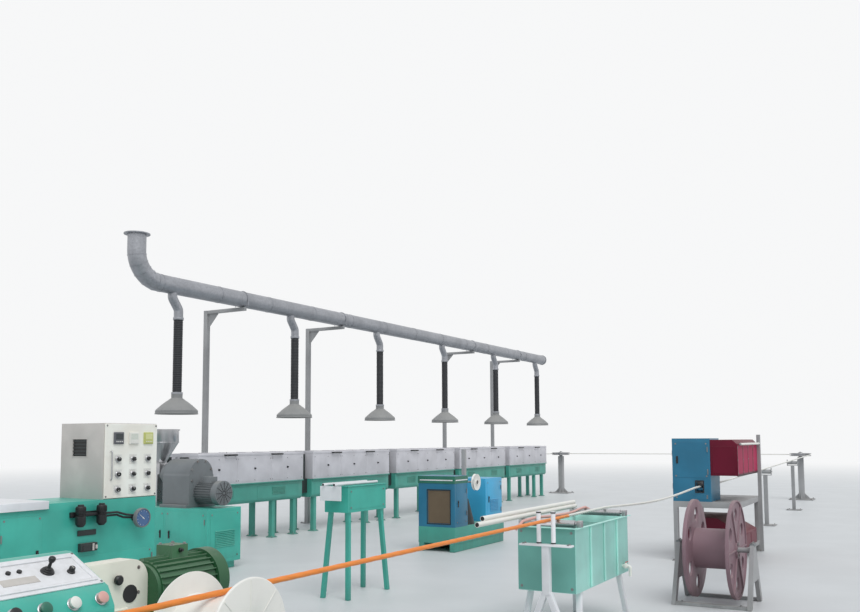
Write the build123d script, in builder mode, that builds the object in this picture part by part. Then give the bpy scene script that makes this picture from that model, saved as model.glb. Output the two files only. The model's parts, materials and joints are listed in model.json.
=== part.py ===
from build123d import *
import os

# Cable insulation extrusion line, folded into two runs. Millimetres, +Z up.
# The origin is on the floor, under the middle of the line's box.
# +X runs from the take-up end to the turning sheaves, +Y from the return run to the curing run.

os.makedirs("parts", exist_ok=True)

# Whole line, from the take-up end over the ovens to the turning sheaves
oven_count = 5
oven_length = 2600
oven_gap = 280
oven_offset = 8600
turn_margin = 1680
line_length = oven_offset + oven_count * oven_length + (oven_count - 1) * oven_gap + turn_margin
line_width = 9400
near_end_x = -line_length / 2
far_end_x = line_length / 2
front_edge_y = -line_width / 2
rear_edge_y = line_width / 2
cure_axis_y = 3800
return_axis_y = -3550
running_gap = 0.1
seat_gap = 0.3

# Sheet metal work that all stations share
door_proud = 3
door_margin = 50
door_sill = 50
foot_plate_thickness = 12
corner_radius = 12

# Cable
cable_radius = 14
cure_cable_z = 1200
return_cable_z = 1000
cable_sag = 55
cable_sag_radius = 8000
cable_sag_margin = 200
roller_kink_radius = 500

# Curing ovens
oven_start_x = near_end_x + oven_offset
oven_depth = 660
oven_base_depth = 600
oven_leg_height = 620
oven_base_height = 330
oven_body_height = 450
oven_channel_width = 240
oven_channel_floor = 130
oven_leg_size = 80
oven_leg_shares = (0.06, 0.72, 0.94)
oven_leg_inset = 40
oven_foot_size = 140
oven_base_chamfer = 40
oven_edge_chamfer = 12
oven_panel_count = 3
oven_panel_margin = 30
oven_panel_seam = 12
oven_panel_rear_drop = 70
lid_thickness = 50
lid_chamfer = 14
lid_pad_depth = 40
lid_pad_clearance = 10
lid_handle_reach = 42
lid_handle_length = 256
lid_handle_foot = 16
lid_handle_radius = 9
lid_handle_drop = 6
lid_handle_shares = (0.27, 0.71)
hinge_radius = 14
hinge_pin_radius = 6
hinge_length = 90
hinge_inset = 320
hinge_lug_width = 20
hinge_lug_drop = 60
link_depth = 400
link_box_height = 250
link_post_width = 150
link_post_depth = 40

# Exhaust
pipe_radius = 135
pipe_axis_z = 4050
pipe_bend_radius = 420
pipe_rise = 250
pipe_flange_radius = 190
pipe_flange_thickness = 14
pipe_flange_holes = 8
pipe_flange_hole_radius = 7
pipe_end_margin = 420
pipe_cap_rim = 12
pipe_cap_length = 10
drop_radius = 75
drop_kink = 130
drop_bend_below = 60
drop_bend_radius = 100
hood_radius = 320
hood_rim = 8
hood_neck_margin = 10
hood_neck_flare = 18
hood_skirt = 55
hood_slope_height = 190
hood_bottom_z = 2060
hood_wall = 6
hood_neck_height = 70
post_size = 80
post_plate_size = 200
bracket_size = 60
bracket_brace = 260
brace_thickness = 10

# Turning sheaves
sheave_path_radius = 250
sheave_flange_height = 38
sheave_width = 90
sheave_groove_width = 44
sheave_shaft_radius = 22
sheave_hub_radius = 70
sheave_rim_depth = 40
sheave_web_thickness = 24
sheave_hole_count = 6
sheave_hole_radius = 34
stand_base_size = 600
stand_base_thickness = 20
stand_column_size = 140
stand_gusset = 150
stand_gusset_thickness = 10
stand_cap_radius = 40
stand_seat_radius = 50
stand_seat_height = 30

# Roller posts under the return run
roller_post_shares = (1 / 3, 2 / 3)
roller_post_foot = 320
roller_post_size = 70
roller_post_head = 230
roller_post_cheek = 60
post_roller_radius = 40
post_roller_length = 190
post_roller_pin = 12

# Extruder and its drive cabinet
drive_offset = 2400
drive_start_x = near_end_x + drive_offset
drive_length = 2900
drive_front_y = 800
drive_depth = 700
drive_height = 1080
drive_plinth_height = 80
drive_plinth_setback = 40
drive_seam_share = 0.38
drive_seam_width = 36
drive_seam_depth = 20
drive_door_share = 0.545
drive_low_door_top = 560
drive_door_top = 980
worktop_length = 1600
worktop_thickness = 30
worktop_overhang = 30
worktop_lip = 45
worktop_lip_thickness = 4
control_width = 670
control_depth = 660
control_height = 750
panel_thickness = 18
panel_margin = 6
panel_handle_inset = 75
panel_handle_length = 300
panel_handle_width = 22
panel_handle_reach = 26
vent_width = 210
vent_height = 170
vent_drop = 160
vent_depth = 14
vent_slat_count = 5
vent_slat_height = 12
knob_rows = 3
knob_columns = 3
knob_column_pitch = 190
knob_row_pitch = 150
knob_first_row = 90
knob_radius = 22
knob_skirt_radius = 32
knob_reach = 36
knob_skirt_reach = 10
meter_size = 120
meter_reach = 22
air_unit_offset = 1910
air_unit_drop = 120
air_bracket_end = 75
air_bracket_reach = 30
air_bracket_height = 50
air_bowl_spacing = 240
air_bowl_reach = 75
air_bowl_radius = 48
air_bowl_length = 170
air_neck_radius = 30
air_neck_length = 210
air_pipe_radius = 11
air_pipe_drop = 150
gauge_offset = 700
gauge_drop = 200
gauge_radius = 98
gauge_depth = 50
gauge_reach = 140
socket_plate_width = 210
socket_plate_reach = 14
socket_plate_height = 52
socket_plate_drop = 300
socket_width = 190
socket_reach = 60
socket_height = 80
socket_drop = 435
extruder_to_ovens = 1300
extruder_x = oven_start_x - extruder_to_ovens
extruder_rear_y = 1700
extruder_base_width = 620
extruder_base_height = 780
extruder_base_stop = 500
extruder_plinth = 90
extruder_plinth_setback = 60
gearbox_offset = 420
gearbox_length = 480
gearbox_width = 440
gearbox_height = 460
gearbox_boss_radius = 210
gearbox_corner = 60
gearbox_foot_width = 540
gearbox_foot_height = 40
gearbox_nose_radius = 150
gearbox_nose_length = 120
extruder_motor_height = 190
extruder_motor_radius = 148
extruder_motor_margin = 20
barrel_radius = 85
barrel_flange_length = 36
barrel_flange_rim = 12
heater_radius = 118
heater_length = 150
heater_count = 4
feed_throat = 150
feed_width = 200
feed_foot_width = 240
hopper_throat_radius = 70
hopper_radius = 240
hopper_cone_height = 280
hopper_wall_height = 180
hopper_wall = 8
hopper_rim = 12
crosshead_radius = 95
crosshead_length = 300
crosshead_flange = 20
crosshead_flange_length = 50
crosshead_column = 90
crosshead_foot = 260
crosshead_neck = 120
nozzle_length = 40
nozzle_radius = 40
cable_entry_length = 60

# Capstan station
capstan_offset = 10800
capstan_x = near_end_x + capstan_offset
capstan_length = 1600
capstan_table_height = 800
capstan_cabinet_length = 600
capstan_cabinet_width = 510
capstan_cabinet_y = -3445
capstan_cabinet_height = 850
capstan_slot = 90
capstan_slot_height = 140
slot_roller_radius = 20
slot_roller_pin = 8
slot_roller_inset = 50
capstan_leg_size = 60
capstan_table_thickness = 20
capstan_post_size = 50
capstan_post_height = 1700
capstan_rod_radius = 14
capstan_rod_drop = 130
guard_depth = 350
guard_chamfer = 60
upper_guard_z = 1150
upper_guard_height = 480
lower_guard_z = 160
lower_guard_height = 400
lower_guard_inset = 300
lower_guard_rear = 100

# Steel reel
reel_offset = 7950
reel_x = near_end_x + reel_offset
reel_flange_radius = 490
reel_flange_thickness = 36
reel_rim = 14
reel_hub_radius = 90
reel_rib_width = 10
reel_width = 440
reel_side_gap = 120
reel_cheek = 40
reel_y = front_edge_y + reel_cheek + reel_side_gap + reel_width / 2
reel_core_radius = 200
reel_shaft_radius = 26
reel_axis_z = 535
reel_hole_radius = 72
reel_hole_ring = 340
reel_hole_count = 6
reel_stand_foot = 330
reel_stand_head = 55
reel_stand_leg = 80
reel_stand_arch = 240
reel_stand_arch_width = 130
reel_skid_size = 50
reel_skid_height = 30

# Cooling tank
tank_offset = 5490
tank_x = near_end_x + tank_offset
tank_length = 1410
tank_width = 510
tank_y = -3480
tank_bottom_z = 410
tank_top_z = 930
tank_wall = 6
tank_rim = 25
tank_roller_radius = 30
tank_roller_pin = 10
tank_roller_inset = 100
tank_bearing_height = 28
tank_bearing_width = 60
tank_bearing_depth = 36
tank_leg_size = 45
tank_leg_inset = 180
tank_leg_splay = 110
tank_leg_spread = 40
tube_radius = 20
tube_reaches = (760, 640)
tube_step = 36
tube_overlap = 26
tube_end_margin = 40
guide_offset = 170
guide_plate_z = 800
guide_plate_width = 440
guide_plate_depth = 80
guide_plate_thickness = 14
guide_column_size = 60
guide_column_foot = 420
guide_leg_size = 50
guide_leg_spread = 190
guide_roller_radius = 18
guide_roller_spacing = 62
guide_roller_above = 75
guide_cross_radius = 12
guide_leg_head = 14

# Take-up station
takeup_length = 2200
takeup_width = 560
takeup_height = 560
bobbin_width = 320
bobbin_flange_radius = 235
bobbin_flange_thickness = 14
bobbin_core_radius = 143
bobbin_shaft_radius = 20
bobbin_hub_radius = 60
bobbin_rim_round = 5
takeup_bobbin_offset = 500
takeup_bobbin_x = near_end_x + takeup_bobbin_offset
bobbin_spacing = 1130
guide_bobbin_x = takeup_bobbin_x + bobbin_spacing
takeup_plinth = 60
takeup_plinth_setback = 50
cheek_thickness = 30
cheek_clearance = 8
cheek_foot = 120
cheek_head = 45
shaft_knob_radius = 48
shaft_knob_length = 70
console_offset = 1640
console_x = near_end_x + console_offset
console_width = 620
console_y = -2330
console_depth = 400
console_ledge_z = 790
console_ledge_depth = 60
console_slope_foot_z = 900
console_height = 1060
console_top_depth = 40
desk_width = 600
desk_depth = 290
desk_thickness = 8
desk_rim_width = 560
desk_rim_depth = 240
desk_rim_bar = 20
desk_corner = 10
stick_place = (60, 10)
stick_radius = 34
dial_place = (180, -20)
dial_radius = 20
dial_height = 30
motor_offset = 2650
motor_x = near_end_x + motor_offset
motor_y = -2200
motor_radius = 175
motor_length = 430
motor_axis_z = 790
motor_fin_count = 28
motor_fin_height = 18
motor_fin_thickness = 6
motor_cowl_rim = 12
motor_cowl_length = 90
motor_shield_length = 24
motor_shield_step = 30
motor_shaft_radius = 28
motor_shaft_length = 96
motor_foot_width = 300
motor_pedestal_height = 500
motor_pedestal_length = 560
motor_pedestal_width = 420
terminal_box_size = 130
terminal_box_height = 60
belt_guard_height = 380
belt_guard_width = 120
belt_guard_round = 120
belt_guard_setback = 60
belt_guard_foot = 60

# Free-standing stations between the runs
trough_offset = 6650
trough_x = near_end_x + trough_offset
trough_y = -800
trough_length = 730
trough_width = 300
trough_height = 280
trough_bottom_z = 890
trough_wall = 4
trough_leg_size = 44
trough_leg_inset = 60
trough_leg_row = 110
trough_leg_splay = (70, 50)
trough_tube_radius = 16
trough_tube_row = 70
trough_tube_reach = 140
trough_bracket_width = 260
trough_bracket_height = 150
trough_bracket_inset = 30
trough_bracket_thickness = 20
haul_offset = 10100
haul_x = near_end_x + haul_offset
haul_y = 130
haul_length = 1700
haul_width = 620
haul_base_height = 360
haul_skid_height = 120
haul_skid_width = 80
haul_cabinet_length = 420
haul_cabinet_top = 1110
haul_recess_width = 380
haul_recess_top = 900
haul_recess_depth = 10
haul_drive_start = 1100
haul_drive_top = 1030
haul_drive_margin = 30
haul_pulley_radius = 125
haul_pulley_z = 1000
haul_pulley_offset = 620
haul_pulley_pin = 14
haul_pulley_gap = 40
haul_pulley_hub = 40
haul_pulley_width = 44
haul_pulley_rim = 30
haul_recess_shift = 40
haul_mast_size = 56
haul_mast_height = 1500
haul_mast_setback = 165
haul_cone_foot = 155
haul_cone_head = 62
haul_cone_height = 380


def block(x_span, y_span, z_span, mode=Mode.ADD):
    middle = tuple((span[0] + span[1]) / 2 for span in (x_span, y_span, z_span))
    size = [abs(span[1] - span[0]) for span in (x_span, y_span, z_span)]
    with Locations(middle):
        Box(*size, mode=mode)


def rod(axis, span, centre, radius, mode=Mode.ADD):
    # centre holds the two coordinates across the axis
    middle = (span[0] + span[1]) / 2
    length = abs(span[1] - span[0])
    turn = {"x": (0, 90, 0), "y": (90, 0, 0), "z": (0, 0, 0)}[axis]
    first, second = centre
    place = {"x": (middle, first, second), "y": (first, middle, second), "z": (first, second, middle)}[axis]
    with Locations(place):
        Cylinder(radius, length, rotation=turn, mode=mode)


def around(middle, width):
    return middle - width / 2, middle + width / 2


def turned_part(outline, centre, along):
    # outline lists (radius, distance along the axis) from the centre
    across = (0, -1, 0) if along == "z" else (0, 0, 1)
    direction = (0, 0, 1) if along == "z" else (0, 1, 0)
    with BuildPart() as turned:
        with BuildSketch(Plane(origin=centre, x_dir=(1, 0, 0), z_dir=across)):
            with BuildLine():
                Polyline(*outline, close=True)
            make_face()
        revolve(axis=Axis(centre, direction))
    return turned


def leaning_bar(foot, head, size):
    # a square bar between two levels, cut flat at both
    ends = []
    for place in (foot, head):
        with BuildSketch(Plane.XY.offset(place[2])) as end:
            with Locations((place[0], place[1])):
                Rectangle(size, size)
        ends.append(end.sketch)
    loft(ends)


def door(axis, face, side, across, up):
    # a plate that stands proud of a cabinet wall looking along axis
    out = sorted((face, face + side * door_proud))
    if axis == "x":
        block(out, across, up)
    else:
        block(across, out, up)


def finned_motor(start, length, radius, fins):
    # motor body along the sketch plane's normal, with fins along its length
    with BuildSketch(start) as outline:
        Circle(radius - motor_fin_height)
        with PolarLocations(radius - motor_fin_height, fins):
            Rectangle(2 * motor_fin_height, motor_fin_thickness)
    extrude(outline.sketch, amount=length)


def save(piece, label):
    piece.part.label = label
    export_step(piece.part, f"parts/{label}.step")


# Oven modules
oven_pitch = oven_length + oven_gap
oven_front_y = cure_axis_y - oven_depth / 2
oven_rear_y = cure_axis_y + oven_depth / 2
oven_body_z = oven_leg_height + oven_base_height
oven_top_z = oven_body_z + oven_body_height
lid_top_z = oven_top_z + lid_thickness
oven_starts = [oven_start_x + oven_pitch * number for number in range(oven_count)]
oven_end_x = oven_starts[-1] + oven_length
hinge_y = oven_rear_y + hinge_radius
hinge_z = oven_top_z + lid_thickness / 2
lug_front_y = hinge_y - hinge_pin_radius - 1
oven_panel_pitch = (oven_length - 2 * oven_panel_margin) / oven_panel_count


def oven_body(start_x):
    # insulated trough, open along its top, with the fixed halves of its lid hinges
    channel_height = oven_body_height - oven_channel_floor
    with BuildPart() as body:
        with BuildSketch(Plane.YZ.offset(start_x)):
            with Locations((cure_axis_y, (oven_body_z + oven_top_z) / 2)):
                Rectangle(oven_depth, oven_body_height)
            with Locations((cure_axis_y, oven_top_z - channel_height / 2)):
                Rectangle(oven_channel_width, channel_height, mode=Mode.SUBTRACT)
        extrude(amount=oven_length)
        uprights = body.edges().filter_by(Axis.Z).group_by(Axis.Y)
        chamfer(uprights[0] + uprights[-1], oven_edge_chamfer)
        for number in range(oven_panel_count):
            panel_x = (start_x + oven_panel_margin + oven_panel_pitch * number + oven_panel_seam / 2,
                       start_x + oven_panel_margin + oven_panel_pitch * (number + 1) - oven_panel_seam / 2)
            door("y", oven_front_y, -1, panel_x,
                 (oven_body_z + oven_panel_margin, oven_top_z - oven_panel_margin))
            door("y", oven_rear_y, 1, panel_x,
                 (oven_body_z + oven_panel_margin, oven_top_z - oven_panel_rear_drop))
        for inset in (hinge_inset, oven_length - hinge_inset):
            middle = start_x + inset
            for side in (-1, 1):
                lug_x = around(middle + side * (hinge_length / 2 + 12), hinge_lug_width)
                lug_z = (oven_top_z - hinge_lug_drop, hinge_z + hinge_pin_radius + 2)
                block(lug_x, (lug_front_y, hinge_y + hinge_radius), lug_z)
                block(lug_x, (oven_rear_y - 1, lug_front_y), (lug_z[0], oven_top_z - 5))
            rod("x", around(middle, hinge_length + 2 * hinge_lug_width), (hinge_y, hinge_z),
                hinge_pin_radius)
    return body


def oven_lid(start_x):
    # lid with its insulating pad, two pull handles and the moving halves of the hinges
    pad_front_y = cure_axis_y - oven_channel_width / 2 + lid_pad_clearance
    pad_rear_y = cure_axis_y + oven_channel_width / 2 - lid_pad_clearance
    lid_rear_y = oven_rear_y - 2
    lid_bottom_z = oven_top_z + seat_gap
    with BuildPart() as lid:
        with BuildSketch(Plane.YZ.offset(start_x)):
            with BuildLine():
                Polyline(
                    (lid_rear_y, lid_bottom_z),
                    (pad_rear_y, lid_bottom_z),
                    (pad_rear_y, oven_top_z - lid_pad_depth),
                    (pad_front_y, oven_top_z - lid_pad_depth),
                    (pad_front_y, lid_bottom_z),
                    (oven_front_y, lid_bottom_z),
                    (oven_front_y, lid_top_z - lid_chamfer),
                    (oven_front_y + lid_chamfer, lid_top_z),
                    (lid_rear_y - lid_chamfer, lid_top_z),
                    (lid_rear_y, lid_top_z - lid_chamfer),
                    close=True,
                )
            make_face()
        extrude(amount=oven_length)
        for inset in (hinge_inset, oven_length - hinge_inset):
            knuckle_x = around(start_x + inset, hinge_length)
            rod("x", knuckle_x, (hinge_y, hinge_z), hinge_radius - 1)
            block(knuckle_x, (lid_rear_y - 4, hinge_y), around(hinge_z, 10))
            rod("x", knuckle_x, (hinge_y, hinge_z), hinge_pin_radius + running_gap, Mode.SUBTRACT)
        grip_y = oven_front_y - lid_handle_reach
        grip_z = hinge_z - lid_handle_drop
        for share in lid_handle_shares:
            middle = start_x + oven_length * share
            for side in (-1, 1):
                foot_x = around(middle + side * (lid_handle_length / 2 - lid_handle_foot / 2),
                                lid_handle_foot)
                block(foot_x, (grip_y, oven_front_y + 1), around(grip_z, lid_handle_foot))
            rod("x", around(middle, lid_handle_length), (grip_y, grip_z), lid_handle_radius)
    return lid


with BuildPart() as oven_bases:
    for start_x in oven_starts:
        with BuildSketch(Plane.YZ.offset(start_x)):
            with Locations((cure_axis_y, oven_leg_height + oven_base_height / 2)):
                base_outline = Rectangle(oven_base_depth, oven_base_height)
            chamfer(base_outline.vertices().group_by(Axis.Y)[0], oven_base_chamfer)
        extrude(amount=oven_length)
        for share in oven_leg_shares:
            for side in (-1, 1):
                leg_y = cure_axis_y + side * (oven_base_depth / 2 - oven_leg_inset - oven_leg_size / 2)
                leg_x = start_x + oven_length * share
                block(around(leg_x, oven_leg_size), around(leg_y, oven_leg_size), (0, oven_leg_height))
                block(around(leg_x, oven_foot_size), around(leg_y, oven_foot_size),
                      (0, foot_plate_thickness))
save(oven_bases, "oven_bases")

for number, start_x in enumerate(oven_starts, 1):
    save(oven_body(start_x), f"oven_body_{number}")
    save(oven_lid(start_x), f"oven_lid_{number}")

# Dark link boxes in the gaps, with a post each side of the cable
with BuildPart() as link_boxes:
    for start_x in oven_starts:
        gap_middle = start_x - oven_gap / 2
        block(around(gap_middle, oven_gap), around(cure_axis_y, link_depth),
              (oven_body_z - link_box_height, oven_body_z))
        for side in (-1, 1):
            post_y = cure_axis_y + side * (link_depth / 2 - link_post_depth / 2)
            block(around(gap_middle, link_post_width), around(post_y, link_post_depth),
                  (oven_body_z, oven_top_z))
save(link_boxes, "link_boxes")

# Exhaust pipe, with its upturned elbow, drops, hoods and posts
hood_places = [start_x - oven_gap / 2 for start_x in oven_starts] + [oven_end_x + oven_gap / 2]
pipe_start_x = hood_places[0] - pipe_end_margin
elbow_x = pipe_start_x - pipe_bend_radius - 10
pipe_stop_x = hood_places[-1] + pipe_end_margin
pipe_top_z = pipe_axis_z + pipe_bend_radius + pipe_rise
hood_slope_z = hood_bottom_z + hood_skirt
hood_neck_z = hood_slope_z + hood_slope_height
hood_top_z = hood_neck_z + hood_neck_height

with BuildPart() as exhaust_pipe:
    rod("x", (pipe_start_x, pipe_stop_x), (cure_axis_y, pipe_axis_z), pipe_radius)
    cap_x = (pipe_stop_x, pipe_stop_x + pipe_cap_length)
    rod("x", cap_x, (cure_axis_y, pipe_axis_z), pipe_radius + pipe_cap_rim)
save(exhaust_pipe, "exhaust_pipe")

with BuildPart() as exhaust_elbow:
    with BuildLine():
        FilletPolyline(
            (pipe_start_x, cure_axis_y, pipe_axis_z),
            (elbow_x, cure_axis_y, pipe_axis_z),
            (elbow_x, cure_axis_y, pipe_top_z),
            radius=pipe_bend_radius,
        )
    with BuildSketch(Plane(origin=(pipe_start_x, cure_axis_y, pipe_axis_z), z_dir=(-1, 0, 0))):
        Circle(pipe_radius)
        Circle(pipe_radius - hood_wall, mode=Mode.SUBTRACT)
    sweep()
    with BuildSketch(Plane.XY.offset(pipe_top_z)):
        with Locations((elbow_x, cure_axis_y)):
            Circle(pipe_flange_radius)
            Circle(pipe_radius - hood_wall / 2, mode=Mode.SUBTRACT)
            with PolarLocations((pipe_radius + pipe_flange_radius) / 2, pipe_flange_holes):
                Circle(pipe_flange_hole_radius, mode=Mode.SUBTRACT)
    extrude(amount=-pipe_flange_thickness)
save(exhaust_elbow, "exhaust_elbow")

# each drop leaves the pipe's underside beside its hood and bends over to it
drop_bend_z = pipe_axis_z - pipe_radius - drop_bend_below
with BuildPart() as drop_pipes:
    for place in hood_places:
        with BuildLine() as drop_path:
            FilletPolyline(
                (place - drop_kink, cure_axis_y, pipe_axis_z),
                (place - drop_kink, cure_axis_y, drop_bend_z),
                (place, cure_axis_y, drop_bend_z - 1.3 * drop_kink),
                (place, cure_axis_y, hood_top_z),
                radius=drop_bend_radius,
            )
        with BuildSketch(Plane.XY.offset(pipe_axis_z)) as drop_outline:
            with Locations((place - drop_kink, cure_axis_y)):
                Circle(drop_radius)
        sweep(drop_outline.sketch, path=drop_path.wire())
    rod("x", (pipe_start_x, pipe_stop_x), (cure_axis_y, pipe_axis_z), pipe_radius + seat_gap, Mode.SUBTRACT)
save(drop_pipes, "drop_pipes")


def hood(place):
    # a wide shallow cone of sheet steel, open below, with a rolled rim and a closed neck
    neck_radius = drop_radius + hood_neck_margin
    inner_radius = hood_radius - hood_wall
    outline = [
        (0, hood_neck_z - hood_wall - hood_bottom_z),
        (neck_radius - hood_wall, hood_neck_z - hood_wall - hood_bottom_z),
        (inner_radius, hood_skirt),
        (inner_radius, 0),
        (hood_radius + hood_rim, 0),
        (hood_radius + hood_rim, 10),
        (hood_radius, 14),
        (hood_radius, hood_skirt),
        (neck_radius + hood_neck_flare, hood_neck_z - hood_bottom_z - 12),
        (neck_radius, hood_neck_z - hood_bottom_z + 6),
        (neck_radius, hood_top_z - hood_bottom_z),
        (0, hood_top_z - hood_bottom_z),
    ]
    return turned_part(outline, (place, cure_axis_y, hood_bottom_z), "z")


with BuildPart() as hoods:
    for place in hood_places:
        add(hood(place))
save(hoods, "hoods")

post_y = rear_edge_y - post_plate_size / 2
arm_top_z = pipe_axis_z - pipe_radius
with BuildPart() as pipe_posts:
    for start_x in oven_starts[:2] + oven_starts[3:]:
        post_x = start_x + oven_length / 2
        block(around(post_x, post_plate_size), around(post_y, post_plate_size), (0, foot_plate_thickness))
        block(around(post_x, post_size), around(post_y, post_size), (foot_plate_thickness, arm_top_z))
        block(around(post_x, bracket_size), (cure_axis_y - post_size, post_y),
              (arm_top_z - bracket_size, arm_top_z))
        with BuildSketch(Plane.YZ.offset(post_x)):
            with BuildLine():
                Polyline(
                    (post_y, arm_top_z - bracket_size / 2),
                    (post_y - post_size / 2 - bracket_brace, arm_top_z - bracket_size / 2),
                    (post_y, arm_top_z - bracket_size - post_size / 2 - bracket_brace),
                    close=True,
                )
            make_face()
        extrude(amount=brace_thickness / 2, both=True)
save(pipe_posts, "pipe_posts")

# Turning sheaves at the far end
sheave_x = far_end_x - stand_base_size / 2
cross_x = sheave_x + sheave_path_radius
sheave_rear_y = cure_axis_y - sheave_path_radius
sheave_front_y = return_axis_y + sheave_path_radius
groove_radius = sheave_path_radius - cable_radius - seat_gap
sheave_web = sheave_web_thickness / 2
sheave_hole_ring = (sheave_hub_radius + groove_radius - sheave_rim_depth + 14) / 2
sheave_outline = [
    (sheave_shaft_radius + running_gap, -sheave_width / 2),
    (sheave_hub_radius, -sheave_width / 2),
    (sheave_hub_radius + 14, -sheave_web),
    (groove_radius - sheave_rim_depth, -sheave_web),
    (groove_radius - sheave_rim_depth / 2, -sheave_width / 2 + 8),
    (groove_radius + sheave_flange_height, -sheave_width / 2 + 8),
    (groove_radius + sheave_flange_height, -sheave_groove_width / 2 - 4),
    (groove_radius, -sheave_groove_width / 2 + 4),
    (groove_radius, sheave_groove_width / 2 - 4),
    (groove_radius + sheave_flange_height, sheave_groove_width / 2 + 4),
    (groove_radius + sheave_flange_height, sheave_width / 2 - 8),
    (groove_radius - sheave_rim_depth / 2, sheave_width / 2 - 8),
    (groove_radius - sheave_rim_depth, sheave_web),
    (sheave_hub_radius + 14, sheave_web),
    (sheave_hub_radius, sheave_width / 2),
    (sheave_shaft_radius + running_gap, sheave_width / 2),
]
for label, sheave_y in (("turn_sheave_rear", sheave_rear_y), ("turn_sheave_front", sheave_front_y)):
    sheave = turned_part(sheave_outline, (sheave_x, sheave_y, cure_cable_z), "z")
    with sheave:
        with Locations((sheave_x, sheave_y, cure_cable_z)):
            with PolarLocations(sheave_hole_ring, sheave_hole_count):
                Cylinder(sheave_hole_radius, sheave_width, mode=Mode.SUBTRACT)
    save(sheave, label)


def gusset_plate():
    # stiffener between the foot of a column and its base plate
    with BuildPart() as plate:
        with BuildSketch(Plane.XZ):
            with BuildLine():
                Polyline(
                    (stand_column_size / 2, 0),
                    (stand_column_size / 2 + stand_gusset, 0),
                    (stand_column_size / 2, stand_gusset),
                    close=True,
                )
            make_face()
        extrude(amount=stand_gusset_thickness / 2, both=True)
    return plate.part


with BuildPart() as turn_stands:
    for sheave_y in (sheave_rear_y, sheave_front_y):
        shelf_z = cure_cable_z - sheave_width / 2 - stand_seat_height
        cap_z = cure_cable_z + sheave_width / 2 + 1
        base_span = around(sheave_y, stand_base_size)
        column_span = around(sheave_y, stand_column_size)
        block(around(sheave_x, stand_base_size), base_span, (0, stand_base_thickness))
        block(around(sheave_x, stand_column_size), column_span, (stand_base_thickness, shelf_z))
        rod("z", (shelf_z, cure_cable_z - sheave_width / 2 - 1), (sheave_x, sheave_y), stand_seat_radius)
        rod("z", (shelf_z, cap_z + stand_seat_height), (sheave_x, sheave_y), sheave_shaft_radius)
        rod("z", (cap_z, cap_z + 16), (sheave_x, sheave_y), stand_cap_radius)
        for turn in range(4):
            with Locations(Location((sheave_x, sheave_y, stand_base_thickness), (0, 0, 90 * turn))):
                add(gusset_plate())
save(turn_stands, "turn_stands")


def return_run_z(x):
    # height of the cable between the front sheave and the capstan station
    share = (cross_x - x) / (cross_x - capstan_x - capstan_length)
    return cure_cable_z + (return_cable_z - cure_cable_z) * share


with BuildPart() as roller_posts:
    for share in roller_post_shares:
        place = capstan_x + capstan_length + share * (cross_x - capstan_x - capstan_length)
        roller_z = return_run_z(place) - cable_radius - seat_gap - post_roller_radius
        head_z = roller_z - roller_post_cheek
        post_span = around(place, roller_post_size)
        cheek_row = (roller_post_head - foot_plate_thickness) / 2
        foot_span = around(return_axis_y, roller_post_foot)
        block(around(place, roller_post_foot), foot_span, (0, foot_plate_thickness))
        block(post_span, around(return_axis_y, roller_post_size), (foot_plate_thickness, head_z))
        block(post_span, around(return_axis_y, roller_post_head), (head_z - foot_plate_thickness, head_z))
        for side in (-1, 1):
            cheek_span = around(return_axis_y + side * cheek_row, foot_plate_thickness)
            block(around(place, roller_post_cheek), cheek_span, (head_z, roller_z + roller_post_size))
        rod("y", around(return_axis_y, post_roller_length), (place, roller_z), post_roller_radius)
        rod("y", around(return_axis_y, roller_post_head + 2 * post_roller_pin), (place, roller_z),
            post_roller_pin)
save(roller_posts, "roller_posts")

# Drive cabinet, worktop and control cabinet
drive_stop_x = drive_start_x + drive_length
drive_rear_y = drive_front_y + drive_depth
drive_seam_x = drive_start_x + drive_seam_share * drive_length
drive_door_x = drive_start_x + drive_door_share * drive_length
with BuildPart() as drive_cabinet:
    block((drive_start_x, drive_stop_x), (drive_front_y, drive_rear_y), (drive_plinth_height, drive_height))
    fillet(drive_cabinet.edges().filter_by(Axis.Z), corner_radius)
    block((drive_start_x + drive_plinth_setback, drive_stop_x - drive_plinth_setback),
          (drive_front_y + drive_plinth_setback, drive_rear_y - drive_plinth_setback), (0,
                                                                                        drive_plinth_height))
    block(around(drive_seam_x, drive_seam_width), (drive_front_y, drive_front_y + drive_seam_depth),
          (drive_plinth_height, drive_height), Mode.SUBTRACT)
    door_z = (drive_plinth_height + door_sill, drive_door_top)
    side_y = (drive_front_y + door_margin, drive_rear_y - door_margin)
    door("y", drive_front_y, -1, (drive_start_x + door_margin, drive_seam_x - door_margin), door_z)
    door("y", drive_front_y, -1, (drive_seam_x + door_margin, drive_door_x - door_margin / 2), door_z)
    door("y", drive_front_y, -1, (drive_door_x + door_margin / 2, drive_stop_x - door_margin),
         (door_z[0], drive_low_door_top))
    door("x", drive_start_x, -1, side_y, door_z)
    door("x", drive_stop_x, 1, side_y, door_z)
save(drive_cabinet, "drive_cabinet")

with BuildPart() as worktop:
    worktop_x = (drive_start_x - worktop_overhang, drive_start_x + worktop_length)
    worktop_front_y = drive_front_y - worktop_overhang
    block(worktop_x, (worktop_front_y, drive_rear_y + worktop_overhang),
          (drive_height, drive_height + worktop_thickness))
    block(worktop_x, (worktop_front_y, worktop_front_y + worktop_lip_thickness),
          (drive_height - worktop_lip, drive_height))
    fillet(worktop.edges().filter_by(Axis.X).group_by(Axis.Z)[-1], 8)
save(worktop, "worktop")

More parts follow.
